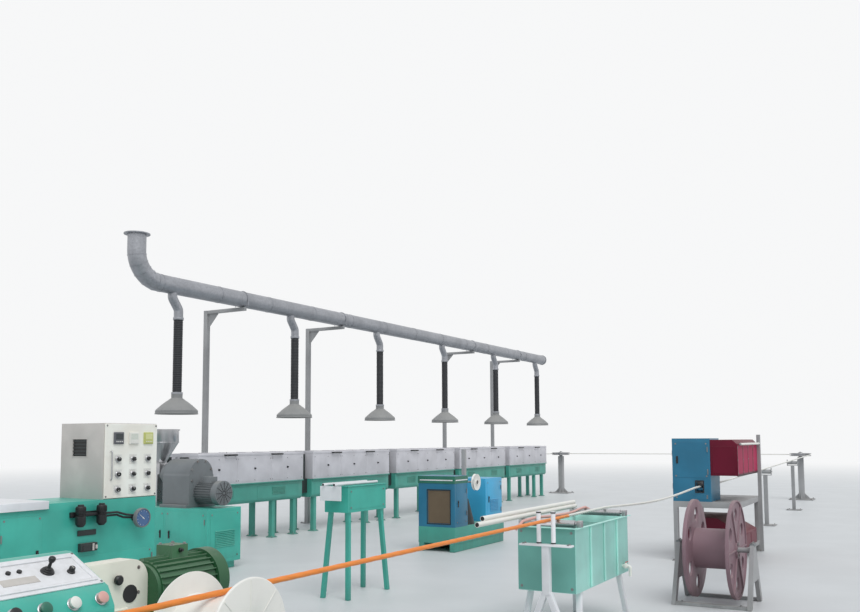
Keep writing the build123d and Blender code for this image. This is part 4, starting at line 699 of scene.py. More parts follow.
def strandTree():
    # strands laid round each other along a path
    tree, make, given = openTree("strand", {"Strands": "Int", "Lay": "Float", "Offset": "Float",
                                            "Radius": "Float", "Sides": "Int", "Finish": "Material"})
    path = make.node("GeometryNodeMeshToCurve", {}, {0: given["Geometry"]})
    path = make.node("GeometryNodeResampleCurve", {"mode": "LENGTH"},
                     {0: path, "Length": given["Lay"] * 0.125})
    many = make.node("GeometryNodeDuplicateElements", {"domain": "SPLINE"},
                     {0: path, "Amount": given["Strands"]})
    number = Wire(tree, many.socket.node.outputs["Duplicate Index"])
    travel = make.node("GeometryNodeSplineParameter", output=1)
    angle = (travel / given["Lay"] + number / given["Strands"]) * math.tau
    normal = make.node("GeometryNodeInputNormal")
    tangent = make.node("GeometryNodeInputTangent")
    side = make.node("ShaderNodeVectorMath", {"operation": "CROSS_PRODUCT"}, {0: tangent, 1: normal})
    out = make.node("ShaderNodeVectorMath", {"operation": "SCALE"},
                    {0: normal, "Scale": angle.sum("COSINE", angle) * given["Offset"]})
    across = make.node("ShaderNodeVectorMath", {"operation": "SCALE"},
                       {0: side, "Scale": angle.sum("SINE", angle) * given["Offset"]})
    shift = make.node("ShaderNodeVectorMath", {"operation": "ADD"}, {0: out, 1: across})
    moved = make.node("GeometryNodeSetPosition", {}, {0: many, "Offset": shift})
    outline = make.node("GeometryNodeCurvePrimitiveCircle", {},
                        {"Resolution": given["Sides"], "Radius": given["Radius"]})
    shape = make.node("GeometryNodeCurveToMesh", {}, {0: moved, "Profile Curve": outline, "Fill Caps": True})
    return closeTree(tree, make, shape, given["Finish"])


trees = {"row": rowTree(), "ring": ringTree(), "stud": studTree(), "band": bandTree(), "hose": hoseTree(),
         "strand": strandTree()}


def grown(name, mesh, treeName, values, material, slot=None, body="line", stands=(), place=None):
    # runs a tree on a mesh and keeps the result as a piece with a plain mesh
    holder = bpy.data.objects.new(name, mesh)
    bpy.context.collection.objects.link(holder)
    modifier = holder.modifiers.new("grow", "NODES")
    modifier.node_group = trees[treeName]
    values = {**values, "Finish": material}
    for item in trees[treeName].interface.items_tree:
        if item.in_out == "INPUT" and item.name in values:
            modifier[item.identifier] = values[item.name]
    graph = bpy.context.evaluated_depsgraph_get()
    result = bpy.data.meshes.new_from_object(holder.evaluated_get(graph), preserve_all_data_layers=True,
                                             depsgraph=graph)
    bpy.data.objects.remove(holder)
    obj = meshObject(name, result)
    if place:
        result.transform(place)
    return asPiece(obj, material, slot, body, stands, painted=True)


def pathMesh(name, paths):
    # loose edges through the points of each path
    points, links = [], []
    for path in paths:
        links += [(len(points) + k, len(points) + k + 1) for k in range(len(path) - 1)]
        points += [tuple(point) for point in path]
    mesh = bpy.data.meshes.new(name)
    mesh.from_pydata(points, links, [])
    return mesh


def ringOf(name, work, count, centre, axis, material, slot=None, body="line", turn=None):
    # copies of a shape about an axis through centre, turn degrees apart
    values = {"Count": count, "Turn": math.radians(turn or 360 / count)}
    place = Matrix.Translation(centre) @ axisTurn[axis]
    return grown(name, turnedMesh(name, work), "ring", values, material, slot, body, place=place)


def rowOf(name, work, count, step, start, material, slot=None, body="line"):
    # copies of a shape in a row that begins at start
    values = {"Count": count, "Step": step}
    return grown(name, turnedMesh(name, work), "row", values, material, slot, body,
                 place=Matrix.Translation(start))


def studs(name, spots, width, height, slot="grey_paint", body="line"):
    # spots: (point, direction) for every fastener head
    mesh = bpy.data.meshes.new(name)
    mesh.from_pydata([tuple(point) for point, facing in spots], [], [])
    facings = mesh.attributes.new("facing", "FLOAT_VECTOR", "POINT")
    facings.data.foreach_set("vector", [c for point, facing in spots for c in facing])
    return grown(name, mesh, "stud", {"Width": width, "Height": height}, boltSteel, slot, body)


blade = {"reach": 0.012, "gap": 0.022, "slope": 0.008, "lip": 0.0105, "root": 0.0135}


def louvres(name, start, side, count, length, material):
    # sloped blades, one under the other, on a face that looks along Y
    work = bmesh.new()
    addPlate(work, [(0, 0), (blade["reach"] * side, -blade["slope"]), (blade["reach"] * side, -blade["lip"]),
                    (0, -blade["root"])], around(0, length), "X")
    rowOf(name, work, count, (0, 0, -blade["gap"]), start, material)


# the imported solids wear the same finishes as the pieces
for node in nodes:
    nodes[node].data.materials.clear()
    nodes[node].data.materials.append(finishOf(node))


# curing ovens

oven = {"count": 5, "length": 2.6, "front": 3.47, "rear": 4.13, "axis": 3.8, "floor": 0.95, "top": 1.4,
        "lidTop": 1.45, "baseFloor": 0.62, "baseFront": 3.5, "baseRear": 4.1, "margin": 0.03, "panels": 3,
        "screwInset": 0.026, "padTop": 1.3995, "legShares": (0.06, 0.72, 0.94),
        "basePanels": ((0.1, 1.2), (1.4, 2.5)), "louvrePlaces": (0.65, 1.95),
        "lidScrewPlaces": (0.04, 0.65, 1.3, 1.95, 2.56)}
ovenStarts = [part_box(f"oven_body_{n + 1}")[0].x for n in range(oven["count"])]

cadCopies({"oven_bases": 0.004, "link_boxes": 0.004})
for number in range(1, oven["count"] + 1):
    cadCopy(f"oven_body_{number}", 0.003)
    lid = cadCopy(f"oven_lid_{number}", 0.003)
    lid.data.materials.append(padBoard)
    for polygon in lid.data.polygons:
        if polygon.center.z < oven["padTop"]:
            polygon.material_index = 1

# screws along the panels on both long sides
panelWidth = (oven["length"] - 2 * oven["margin"]) / oven["panels"]
panelStarts = [start + oven["margin"] + number * panelWidth for start in ovenStarts
               for number in range(oven["panels"])]
screws = []
for start in panelStarts:
    for side, face, down in ((-1, oven["front"], 0.05), (1, oven["rear"], 0.09)):
        for x in (start + oven["screwInset"], start + panelWidth / 2,
                  start + panelWidth - oven["screwInset"]):
            for z in (oven["floor"] + 0.05, oven["top"] - down):
                screws.append(((x, face + side * sheet["gauge"], z), (0, side, 0)))
studs("ovenScrews", screws, 0.011, 0.004)

# a temperature probe in the middle of each front panel
probe = [(0, 0), (0.019, 0), (0.019, -0.004), (0.012, -0.006), (0.012, -0.024), (0.009, -0.028), (0, -0.028)]
pieceOf("ovenProbes", blackPlastic, [
    (addLathe, probe, (start + panelWidth / 2, oven["front"] - sheet["gauge"], oven["floor"] + 0.24), "Y", 16)
    for start in panelStarts], "dark_grey")

# teal flange under each body, raised panel and louvres on each base
work = bmesh.new()
for start in ovenStarts:
    addBox(work, (start, oven["front"] - 0.012, oven["floor"] - 0.012),
           (start + oven["length"], oven["rear"] + 0.012, oven["floor"] + 0.004), 0.002, 1)
    for low, high in oven["basePanels"]:
        for side, face in ((-1, oven["baseFront"]), (1, oven["baseRear"])):
            proud(work, "Y", face, side, (start + low, start + high),
                  (oven["baseFloor"] + 0.06, oven["floor"] - 0.06), 0.004, 0.002)
keep("ovenFlanges", work, ovenTeal)
for number, start in enumerate(ovenStarts, 1):
    for share, middle in zip("ab", oven["louvrePlaces"]):
        louvres(f"ovenLouvres{number}{share}", (start + middle, oven["baseFront"] - sheet["gauge"],
                                                oven["floor"] - 0.09), -1, 6, 0.34, ovenTeal)

# four anchor bolts to a foot
foot = {"size": 0.14, "height": 0.012, "boltInset": 0.022, "row": 0.22}
bolts = []
for start in ovenStarts:
    for share in oven["legShares"]:
        for side in (-1, 1):
            x, y = start + oven["length"] * share, oven["axis"] + side * foot["row"]
            bolts += cornerSpots("Z", foot["height"], 1, around(x, foot["size"]), around(y, foot["size"]),
                                 foot["boltInset"])
studs("ovenFootBolts", bolts, 0.018, 0.01)

# tunnel mouths: a steel collar round the cable's way in and out, open at the top
tunnel = {"across": (3.65, 3.95), "up": (1.05, 1.395), "edge": 0.03, "rise": 0.005}
low, high = tunnel["across"]
bars = [((low, low + tunnel["edge"]), tunnel["up"]), ((high - tunnel["edge"], high), tunnel["up"]),
        ((low, high), (tunnel["up"][0], tunnel["up"][0] + tunnel["edge"]))]
pieceOf("tunnelCollars", zincSteel, [
    (proud, "X", start + share * oven["length"], 2 * share - 1, across, up, tunnel["rise"], 0.001)
    for start in ovenStarts for share in (0, 1) for across, up in bars], "oven_white")

grip = {"shares": (0.27, 0.71), "radius": 0.0125, "y": oven["front"] - 0.042, "z": 1.419, "reach": 0.12}
ribs = {"count": 6, "inset": 0.22, "width": 0.06, "height": 0.006}
for number, start in enumerate(ovenStarts, 1):
    body, stop = f"lid_{number}", start + oven["length"]
    work = bmesh.new()
    for share in grip["shares"]:
        middle = start + oven["length"] * share
        addRod(work, (middle - 0.106, grip["y"], grip["z"]), (middle + 0.106, grip["y"], grip["z"]),
               grip["radius"], 20, 0.004)
        for x in (middle - grip["reach"], middle + grip["reach"]):
            addBox(work, (x - 0.011, grip["y"] - 0.012, grip["z"] - 0.012),
                   (x + 0.011, oven["front"] + 0.001, grip["z"] + 0.012), 0.003)
    keep(f"lidHandles{number}", work, blackPlastic, body=body)

    # lid: pale edge strip, pressed ribs on top and corner screws
    work = bmesh.new()
    addBox(work, (start + 0.004, oven["front"] - sheet["gauge"], 1.4045),
           (stop - 0.004, oven["front"], 1.4125), 0.001, 1)
    for step in range(ribs["count"]):
        x = start + ribs["inset"] + step * (oven["length"] - 2 * ribs["inset"]) / (ribs["count"] - 1)
        addBox(work, (x - ribs["width"] / 2, oven["front"] + 0.05, oven["lidTop"] - 0.001),
               (x + ribs["width"] / 2, oven["rear"] - 0.08, oven["lidTop"] + ribs["height"]), 0.003)
    keep(f"lidRibs{number}", work, ovenWhite, body=body)
    heads = [((start + x, y, oven["lidTop"]), (0, 0, 1)) for x in oven["lidScrewPlaces"]
             for y in (oven["front"] + 0.025, oven["rear"] - 0.035)]
    studs(f"lidScrews{number}", heads, 0.012, 0.005, "oven_white", body)
print("ovens ready")


# exhaust pipe, drops and hoods

exhaust = {"radius": 0.135, "flange": 0.147, "axis": 4.05, "bend": 0.42, "reach": 0.42, "elbow": 0.43,
           "bandGap": 1.22, "sides": 48, "gores": 5, "saddle": 0.141, "saddleFoot": 3.925,
           "posts": (0, 1, 3, 4), "postY": 4.6, "postFoot": 0.2}
hoodPlaces = [start - 0.14 for start in ovenStarts] + [ovenStarts[-1] + oven["length"] + 0.14]
pipeStart, pipeStop = hoodPlaces[0] - exhaust["reach"], hoodPlaces[-1] + exhaust["reach"]
pipeLength = pipeStop - pipeStart
pieceOf("exhaustPipe", zincSteel, [(addLathe, [
    (0, 0), (exhaust["radius"], 0), (exhaust["radius"], pipeLength), (exhaust["flange"], pipeLength),
    (exhaust["flange"], pipeLength + 0.01), (0.1, pipeLength + 0.01), (0.09, pipeLength + 0.004),
    (0, pipeLength + 0.004)], (pipeStart, oven["axis"], exhaust["axis"]), "X", exhaust["sides"])],
    stands=("exhaust_pipe",))
seamPath = [(x, oven["axis"], exhaust["axis"]) for x in (pipeStart + 0.03, pipeStop - 0.2)]
grown("pipeSeams", pathMesh("seams", [seamPath]), "band",
      {"Gap": exhaust["bandGap"], "Radius": exhaust["radius"] - 0.0005, "Width": 0.034, "Rise": 0.004},
      zincSteel)
cadCopy("exhaust_elbow")

# standing seams between the gores of the elbow
work = bmesh.new()
for step in range(exhaust["gores"]):
    angle = math.radians(90 * (step + 0.5) / exhaust["gores"])
    along = Vector((-math.cos(angle), 0, math.sin(angle)))
    x = pipeStart - exhaust["elbow"] + exhaust["bend"] * (1 - math.sin(angle))
    z = exhaust["axis"] + exhaust["bend"] * (1 - math.cos(angle))
    ring = bmesh.new()
    addLathe(ring, [(0.1345, -0.006), (0.1405, -0.004), (0.1405, 0.004), (0.1345, 0.006)], sides=40)
    turn = along.to_track_quat("Z", "Y").to_matrix().to_4x4()
    mergeInto(work, ring, Matrix.Translation((x, oven["axis"], z)) @ turn)
keep("elbowSeams", work, zincSteel)

# saddles over the pipe, at each post
postPlaces = [ovenStarts[n] + 1.3 for n in exhaust["posts"]]
arch = [(oven["axis"] + exhaust["saddle"] * math.cos(math.pi * k / 14),
         exhaust["axis"] + exhaust["saddle"] * math.sin(math.pi * k / 14)) for k in range(15)]
arch.insert(0, (oven["axis"] + exhaust["saddle"], exhaust["saddleFoot"]))
arch.append((oven["axis"] - exhaust["saddle"], exhaust["saddleFoot"]))
pieceOf("pipeSaddles", zincSteel, [(addTube, [(x, y, z) for y, z in arch], 0.006, 8) for x in postPlaces])
cadCopy("pipe_posts", 0.003)
bolts = []
for x in postPlaces:
    bolts += cornerSpots("Z", 0.012, 1, around(x, exhaust["postFoot"]),
                         around(exhaust["postY"], exhaust["postFoot"]), 0.025)
studs("postBolts", bolts, 0.024, 0.014)

# drops: a rigid bend out of the pipe, then corrugated hose down to the hood
drop = {"kink": 0.13, "radius": 0.075, "hosePitch": 0.028, "hoseDepth": 0.004, "clamp": 0.33}
hoodFloor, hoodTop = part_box("hoods")[0].z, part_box("hoods")[1].z
bendTop = exhaust["axis"] - exhaust["radius"] - 0.06
work, hosePaths = bmesh.new(), []
for x in hoodPlaces:
    corners = [(x - drop["kink"], oven["axis"], exhaust["axis"] - 0.06),
               (x - drop["kink"], oven["axis"], bendTop), (x, oven["axis"], bendTop - 1.3 * drop["kink"]),
               (x, oven["axis"], bendTop - 0.34)]
    addTube(work, roundedPath(corners, 0.1), drop["radius"] - 0.004, 24)
    hosePaths.append([(x, oven["axis"], bendTop - 0.3), (x, oven["axis"], hoodTop - 0.02)])
    addLathe(work, [(0.07, 0), (0.079, 0), (0.081, 0.006), (0.081, 0.034), (0.079, 0.04), (0.07, 0.04)],
             (x, oven["axis"], bendTop - drop["clamp"]))
    addHoop(work, 0.07, 0.088, 0, 0.03, (x, oven["axis"], hoodTop - 0.005))
keep("dropBends", work, zincSteel, stands=("drop_pipes",))
grown("dropHoses", pathMesh("drops", hosePaths), "hose",
      {"Radius": drop["radius"] - 0.005, "Pitch": drop["hosePitch"], "Depth": drop["hoseDepth"]}, hoseBlack)

# hoods: rolled rim, skirt, bulged slope and neck, with seams up the slope
hood = {"radius": 0.32, "skirt": 0.055, "slope": 0.19, "neck": 0.085, "neckHeight": 0.07, "wall": 0.006,
        "ribs": 12}
wide, skirt, neck, wall = hood["radius"], hood["skirt"], hood["neck"], hood["wall"]
slopeTop = skirt + hood["slope"]
outline = [(wide - 0.003, 0.002), (wide + 0.004, 0), (wide + 0.008, 0.005), (wide + 0.005, 0.011),
           (wide, 0.014), (wide, skirt)]
outline += [(wide + (neck + 0.018 - wide) * share,
             skirt + (hood["slope"] - 0.012) * share + 0.012 * math.sin(math.pi * share))
            for share in (0.15, 0.4, 0.7, 1)]
outline += [(neck, slopeTop + 0.006), (neck, slopeTop + hood["neckHeight"]),
            (neck - wall, slopeTop + hood["neckHeight"]), (neck - wall, slopeTop), (wide - wall, skirt),
            (wide - wall, 0.012)]
seam = [(neck + 0.016, slopeTop - 0.016), (wide - 0.004, skirt + 0.002), (wide - 0.004, skirt + 0.009),
        (neck + 0.016, slopeTop - 0.006)]
for number, x in enumerate(hoodPlaces, 1):
    place = (x, oven["axis"], hoodFloor)
    stands = ("hoods",) if number == 1 else ()
    pieceOf(f"hood{number}", hoodGrey, [(addLathe, outline, place, "Z", 56)], stands=stands)
    work = bmesh.new()
    addPlate(work, seam, (-0.0025, 0.0025), "Y")
    ringOf(f"hoodSeams{number}", work, hood["ribs"], place, "Z", hoodGrey)
print("exhaust ready")


# cable: twisted cores up to the tank, the bright sheath after it

cable = {"cureZ": 1.2, "returnY": -3.55, "returnZ": 1.0, "farX": 12.15, "bend": 0.25, "change": -6.5,
         "stop": -11.7, "sagStart": -1.6, "sagStop": -5.4, "sag": 0.05}
cores = {"Strands": 3, "Lay": 0.16, "Offset": 0.0072, "Radius": 0.0066, "Sides": 7}
sheath = {"Strands": 3, "Lay": 0.34, "Offset": 0.0024, "Radius": 0.0116, "Sides": 14}
returnY, returnZ = cable["returnY"], cable["returnZ"]
sagSpan = cable["sagStart"] - cable["sagStop"]
run = [(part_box("crosshead")[1].x, oven["axis"], cable["cureZ"]),
       (cable["farX"], oven["axis"], cable["cureZ"]), (cable["farX"], returnY, cable["cureZ"]),
       (0.2, returnY, returnZ), (cable["sagStart"], returnY, returnZ)]
corePath = roundedPath(run, cable["bend"], 10)
for k in range(1, 24):
    droop = cable["sag"] * math.sin(math.pi * k / 24) ** 1.2
    corePath.append((cable["sagStart"] - sagSpan * k / 24, returnY, returnZ - droop))
corePath += [(x, returnY, returnZ) for x in (cable["sagStop"], cable["change"])]
sheathPath = [(x, returnY, returnZ) for x in (cable["change"] + 0.12, cable["stop"])]
grown("cableCores", pathMesh("cores", [corePath]), "strand", cores, whitePlastic, "cable_orange",
      stands=("cable",))
grown("cableSheath", pathMesh("sheath", [sheathPath]), "strand", sheath, orangeSheath)
print("cable ready")


# drive cabinet, control cabinet and panel

def glowing(name, colour, strength):
    material, make, shader = newMaterial(name)
    place = make.node("ShaderNodeTexCoord", output=3)
    shade = mixColour(make, noise(make, place, 60, 2).between(0.3, 0.8) * 0.25, colour,
                      [c * 0.7 for c in colour])
    connect(shade, shader, "Base Color")
    connect(shade, shader, "Emission Color")
    shader.inputs["Emission Strength"].default_value = strength
    shader.inputs["Roughness"].default_value = 0.2
    return material


displays = [glowing("displayGrey", srgb(52, 58, 60), 0.1), glowing("displayPale", srgb(196, 200, 190), 0.2),
            glowing("displayGreen", srgb(206, 208, 150), 0.12)]
cases = [moulded("caseGrey", srgb(104, 105, 110), 0.45, 0.05), whitePlastic,
         moulded("caseLime", srgb(198, 202, 122), 0.4, 0.05)]

drive = {"seam": -8.698, "secondSeam": -8.22, "backSeam": (-8.375, -8.325), "floor": 0.13, "lowTop": 0.56,
         "tallTop": 0.98, "backTop": 1.03, "edge": 0.053, "inset": 0.025, "latchZ": 0.62}
driveLow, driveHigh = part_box("drive_cabinet")
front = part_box("control_panel")[1].y - 0.018
cadCopies({"drive_cabinet": 0.004, "worktop": 0.003, "control_cabinet": 0.003})

left, right = driveLow.x + drive["edge"], driveHigh.x - drive["edge"]
doorFace, backFace = front - sheet["gauge"], driveHigh.y + sheet["gauge"]
tall, back = (drive["floor"], drive["tallTop"]), (drive["floor"], drive["backTop"])
spots = cornerSpots("Y", doorFace, -1, (left, drive["seam"] - 0.05), tall, drive["inset"])
spots += cornerSpots("Y", doorFace, -1, (drive["seam"] + 0.05, drive["secondSeam"] - 0.025), tall,
                     drive["inset"])
spots += cornerSpots("Y", doorFace, -1, (drive["secondSeam"] + 0.025, right),
                     (drive["floor"], drive["lowTop"]), drive["inset"])
for face, side in ((driveLow.x, -1), (driveHigh.x, 1)):
    spots += cornerSpots("X", face, side, (front + 0.05, driveHigh.y - 0.05), tall, drive["inset"])
work = bmesh.new()
for number, span in enumerate(((left, drive["backSeam"][0]), (drive["backSeam"][1], right)), 1):
    proud(work, "Y", driveHigh.y, 1, span, back)
    spots += cornerSpots("Y", backFace, 1, span, back, drive["inset"])
    louvres(f"driveLouvresBack{number}", (sum(span) / 2, backFace, 0.8), 1, 9, 0.6, tealPaint)
keep("drivePlates", work, tealPaint)
driveDoors = [("Y", backFace, 1, left, (0.3, 0.86), drive["backSeam"][0] - 0.08, drive["latchZ"]),
              ("Y", backFace, 1, right, (0.3, 0.86), drive["backSeam"][1] + 0.08, drive["latchZ"]),
              ("Y", doorFace, -1, left, (0.3, 0.8), drive["seam"] - 0.09, drive["latchZ"]),
              ("Y", doorFace, -1, drive["seam"] + 0.05, (0.3, 0.8), drive["secondSeam"] - 0.07,
               drive["latchZ"]),
              ("Y", doorFace, -1, right, (0.22, 0.47), drive["secondSeam"] + 0.07, 0.34)]
doorHinges("driveHinges", driveDoors)
studs("driveScrews", spots, 0.012, 0.004)
louvres("driveLouvresLeft", (-9.26, doorFace, 0.42), -1, 9, 0.5, tealPaint)
louvres("driveLouvresRight", (-7.2, doorFace, 0.4), -1, 9, 0.36, tealPaint)
doorLatches("driveLatches", driveDoors)

panel = {"width": 0.67, "column": 0.19, "firstColumn": 0.24, "knobFloor": 0.09, "row": 0.15, "meter": 0.12,
         "meterZ": 0.6, "ticks": 11, "tickTurn": 27, "handle": 0.075, "handleZ": 0.33, "keys": 4}
controlLow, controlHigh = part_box("control_cabinet")
columns = [controlLow.x + panel["firstColumn"] * panel["width"] + panel["column"] * k for k in range(3)]
rows = [controlLow.z + panel["knobFloor"] + panel["row"] * k for k in range(3)]
meterZ = controlLow.z + panel["meterZ"]

pieceOf("controlPanel", panelCream, [
    (proud, "Y", controlLow.y, -1, (controlLow.x + 0.006, controlHigh.x - 0.006),
     (controlLow.z + 0.006, controlHigh.z - 0.006), controlLow.y - front, 0.004)], stands=("control_panel",))
handle = [(controlLow.x + panel["handle"], front + out, controlLow.z + panel["handleZ"] + up)
          for out, up in ((0.001, -0.14), (-0.02, -0.14), (-0.02, 0.14), (0.001, 0.14))]
pieceOf("panelHandle", brightSteel, [(addTube, roundedPath(handle, 0.012), 0.007, 14)])
spots = cornerSpots("Y", front, -1, (controlLow.x, controlHigh.x), (controlLow.z, controlHigh.z), 0.025)
studs("panelScrews", spots, 0.012, 0.004)

for number, x in enumerate(columns):
    wide, narrow = panel["meter"], panel["meter"] - 0.014
    stands = ("control_knobs",) if number == 0 else ()
    pieceOf(f"meterCase{number + 1}", cases[number], [
        (proud, "Y", front, -1, around(x, wide), around(meterZ, wide), 0.016, 0.003),
        (proud, "Y", front - 0.016, -1, around(x, narrow), around(meterZ, narrow), 0.004, 0.002)],
        "black_plastic", stands=stands)
pieceOf("meterKeys", whitePlastic, [
    (proud, "Y", front - 0.02, -1, around(x - 0.033 + 0.022 * step, 0.014), around(meterZ - 0.034, 0.009),
     0.0022, 0.0008)
    for x in columns for step in range(panel["keys"])])
for number, x in enumerate(columns):
    pieceOf(f"meterGlass{number + 1}", displays[number], [
        (proud, "Y", front - 0.02, -1, around(x, 0.088), around(meterZ + 0.016, 0.058), 0.0015, 0.0006)],
        "black_plastic")

plates, knobs, skirts, pointers = bmesh.new(), bmesh.new(), bmesh.new(), bmesh.new()
skirtOutline = [(0, 0), (0.032, 0), (0.032, -0.004), (0.029, -0.009), (0.0235, -0.012), (0, -0.012)]
gripOutline = [(0, -0.009), (0.0205, -0.009), (0.0195, -0.033), (0.017, -0.036), (0, -0.036)]
for column, x in enumerate(columns):
    for row, z in enumerate(rows):
        proud(plates, "Y", front, -1, around(x, 0.1), around(z, 0.1), 0.0015, 0.0006)
        addLathe(skirts, skirtOutline, (x, front - 0.0015, z), "Y", 24)
        addLathe(knobs, gripOutline, (x, front - 0.0015, z), "Y", 24)
        pointer, tick = bmesh.new(), bmesh.new()
        addBox(pointer, (-0.0016, -0.0012, 0.004), (0.0016, 0.0012, 0.02))
        turn = Matrix.Rotation(math.radians(-130 + 47 * (2 * column + row)), 4, "Y")
        mergeInto(pointers, pointer, Matrix.Translation((x, front - 0.038, z)) @ turn)
        addBox(tick, (-0.0008, 0.038, 0), (0.0008, 0.044, 0.0008))
        ringOf(f"knobTicks{column}{row}", tick, panel["ticks"], (x, front - 0.0023, z), "Y", blackPlastic,
               turn=panel["tickTurn"])
keep("knobPlates", plates, whitePlastic)
keep("panelKnobs", knobs, blackPlastic)
keep("knobSkirts", skirts, brightSteel, "black_plastic")
keep("knobPointers", pointers, whitePlastic)

vent = {"across": (1.065, 1.275), "up": (1.5, 1.67), "edge": 0.01, "slats": 5, "slatHeight": 0.014}
pieceOf("ventBack", blackPlastic,
        [(proud, "X", controlLow.x + 0.014, -1, vent["across"], vent["up"], 0.001, 0)])
work = bmesh.new()
for step in range(vent["slats"]):
    z = vent["up"][0] + (vent["up"][1] - vent["up"][0]) * (step + 0.5) / vent["slats"]
    addBox(work, (controlLow.x + 0.0012, vent["across"][0] + 0.002, z - vent["slatHeight"] / 2),
           (controlLow.x + 0.0135, vent["across"][1] - 0.002, z + vent["slatHeight"] / 2), 0.001, 1)
keep("ventSlats", work, darkGrey, "black_plastic")
work = bmesh.new()
for across, up in frameBars(vent["across"], vent["up"], vent["edge"]):
    proud(work, "X", controlLow.x, -1, across, up, 0.003, 0.001)
proud(work, "Y", controlHigh.y, 1, (controlLow.x + 0.05, controlHigh.x - 0.053),
      (controlLow.z + 0.05, controlHigh.z - 0.05))
keep("ventFrame", work, cabinetGrey, "cream_paint")
heights = (controlLow.z + 0.18, controlHigh.z - 0.18)
controlDoors = [("Y", controlHigh.y + sheet["gauge"], 1, controlLow.x + 0.05, heights,
                 controlHigh.x - 0.11, 1.45),
                ("X", controlHigh.x, 1, 0.868, heights, 1.35, 1.45)]
doorHinges("controlHinges", controlDoors)
doorLatches("controlLatches", controlDoors)
print("control cabinet ready")


# compressed air unit, gauge and sockets on the drive cabinet

air = {"x": -7.89, "y": front - 0.075, "gap": 0.24, "grips": 24}
gauge = {"x": -7.19, "y": front - 0.09, "z": 0.88, "turn": -52, "ticks": 11, "tickTurn": 27}
bowls = [(0, 0.845), (0.022, 0.845), (0.03, 0.85), (0.046, 0.87), (0.048, 0.876), (0.048, 0.944),
         (0.04, 0.95), (0.034, 0.952), (0.034, 0.964), (0.043, 0.968), (0.046, 0.976), (0.046, 1.03),
         (0.042, 1.037), (0.03, 1.04), (0.028, 1.055), (0, 1.055)]
bowlPlaces = [(air["x"], air["y"], 0), (air["x"] + air["gap"], air["y"], 0)]
lowHose = [(0.24, 0, 0.93), (0.42, 0, 0.93), (0.5, 0, 0.9), (gauge["x"] - 0.02 - air["x"], 0, 0.88)]
highHose = [(0.24, -0.012, 0.958), (0.4, -0.03, 0.958), (0.52, -0.02, 0.925),
            (gauge["x"] - 0.02 - air["x"], -0.01, 0.9)]
pieceOf("airUnit", blackPlastic, [(addLathe, bowls, place, "Z", 32) for place in bowlPlaces] + [
    (addBox, (air["x"] - 0.07, front - 0.03, 0.935), (air["x"] + 0.32, front, 0.985), 0.005),
    (addBox, (air["x"] - 0.03, front - 0.075, 0.945), (air["x"] + 0.27, front - 0.03, 0.972), 0.004),
    (addTube, roundedPath([(air["x"] + x, air["y"] + y, z) for x, y, z in lowHose], 0.03), 0.011, 14),
    (addTube, roundedPath([(air["x"] + x, air["y"] + y, z) for x, y, z in highHose], 0.04), 0.011, 14),
    (addLathe, [(0, -0.098), (0.03, -0.098), (0.03, 0), (0.036, 0), (0.036, 0.006), (0, 0.006)],
     (gauge["x"], front - 0.006, gauge["z"]), "Y", 24)], stands=("air_unit",))
for number, place in enumerate(bowlPlaces, 1):
    ridge = bmesh.new()
    addBox(ridge, (0.045, -0.002, 0.978), (0.0485, 0.002, 1.028), 0.001, 1)
    ringOf(f"airGrip{number}", ridge, air["grips"], place, "Z", blackPlastic)

gaugePlace = (gauge["x"], gauge["y"], gauge["z"])
pieceOf("gaugeCase", castGrey, [(addLathe, [
    (0, 0), (0.094, 0), (0.098, -0.006), (0.098, -0.04), (0.094, -0.05), (0.086, -0.05), (0.084, -0.043),
    (0, -0.043)], gaugePlace, "Y", 40)])
face = [(0, -0.0435), (0.083, -0.0435), (0.083, -0.045), (0, -0.045)]
pieceOf("gaugeFace", gaugeBlue, [(addLathe, face, gaugePlace, "Y", 40)], "cast_grey")
work, needle, tick = bmesh.new(), bmesh.new(), bmesh.new()
addPlate(needle, [(-0.003, -0.02), (0.003, -0.02), (0.0012, 0.062), (-0.0012, 0.062)], (-0.001, 0.001), "Y")
mergeInto(work, needle, Matrix.Translation((gauge["x"], front - 0.1368, gauge["z"]))
          @ Matrix.Rotation(math.radians(gauge["turn"]), 4, "Y"))
addRod(work, (gauge["x"], front - 0.135, gauge["z"]), (gauge["x"], front - 0.139, gauge["z"]), 0.007, 16)
keep("gaugeNeedle", work, whitePlastic)
addBox(tick, (-0.001, 0.066, 0), (0.001, 0.077, 0.001))
ringOf("gaugeTicks", tick, gauge["ticks"], (gauge["x"], front - 0.136, gauge["z"]), "Y", whitePlastic,
       turn=gauge["tickTurn"])

middle = air["x"] + 0.13
pieceOf("socketBlock", darkGrey, [
    (proud, "Y", front, -1, around(middle, 0.21), around(0.78, 0.052), 0.012, 0.003),
    (addBox, (middle - 0.095, front - 0.05, 0.605), (middle + 0.095, front, 0.685), 0.006),
    (addBox, (middle - 0.075, front - 0.06, 0.617), (middle + 0.02, front - 0.05, 0.673), 0.003, 1)],
    "black_plastic")
pieceOf("socketLever", cabinetGrey, [
    (addBox, (middle + 0.03, front - 0.062, 0.612), (middle + 0.05, front - 0.05, 0.678), 0.003, 1),
    (addBox, (middle + 0.062, front - 0.07, 0.625), (middle + 0.082, front - 0.05, 0.662), 0.004, 1)],
    "cast_grey")
print("air unit ready")


# extruder

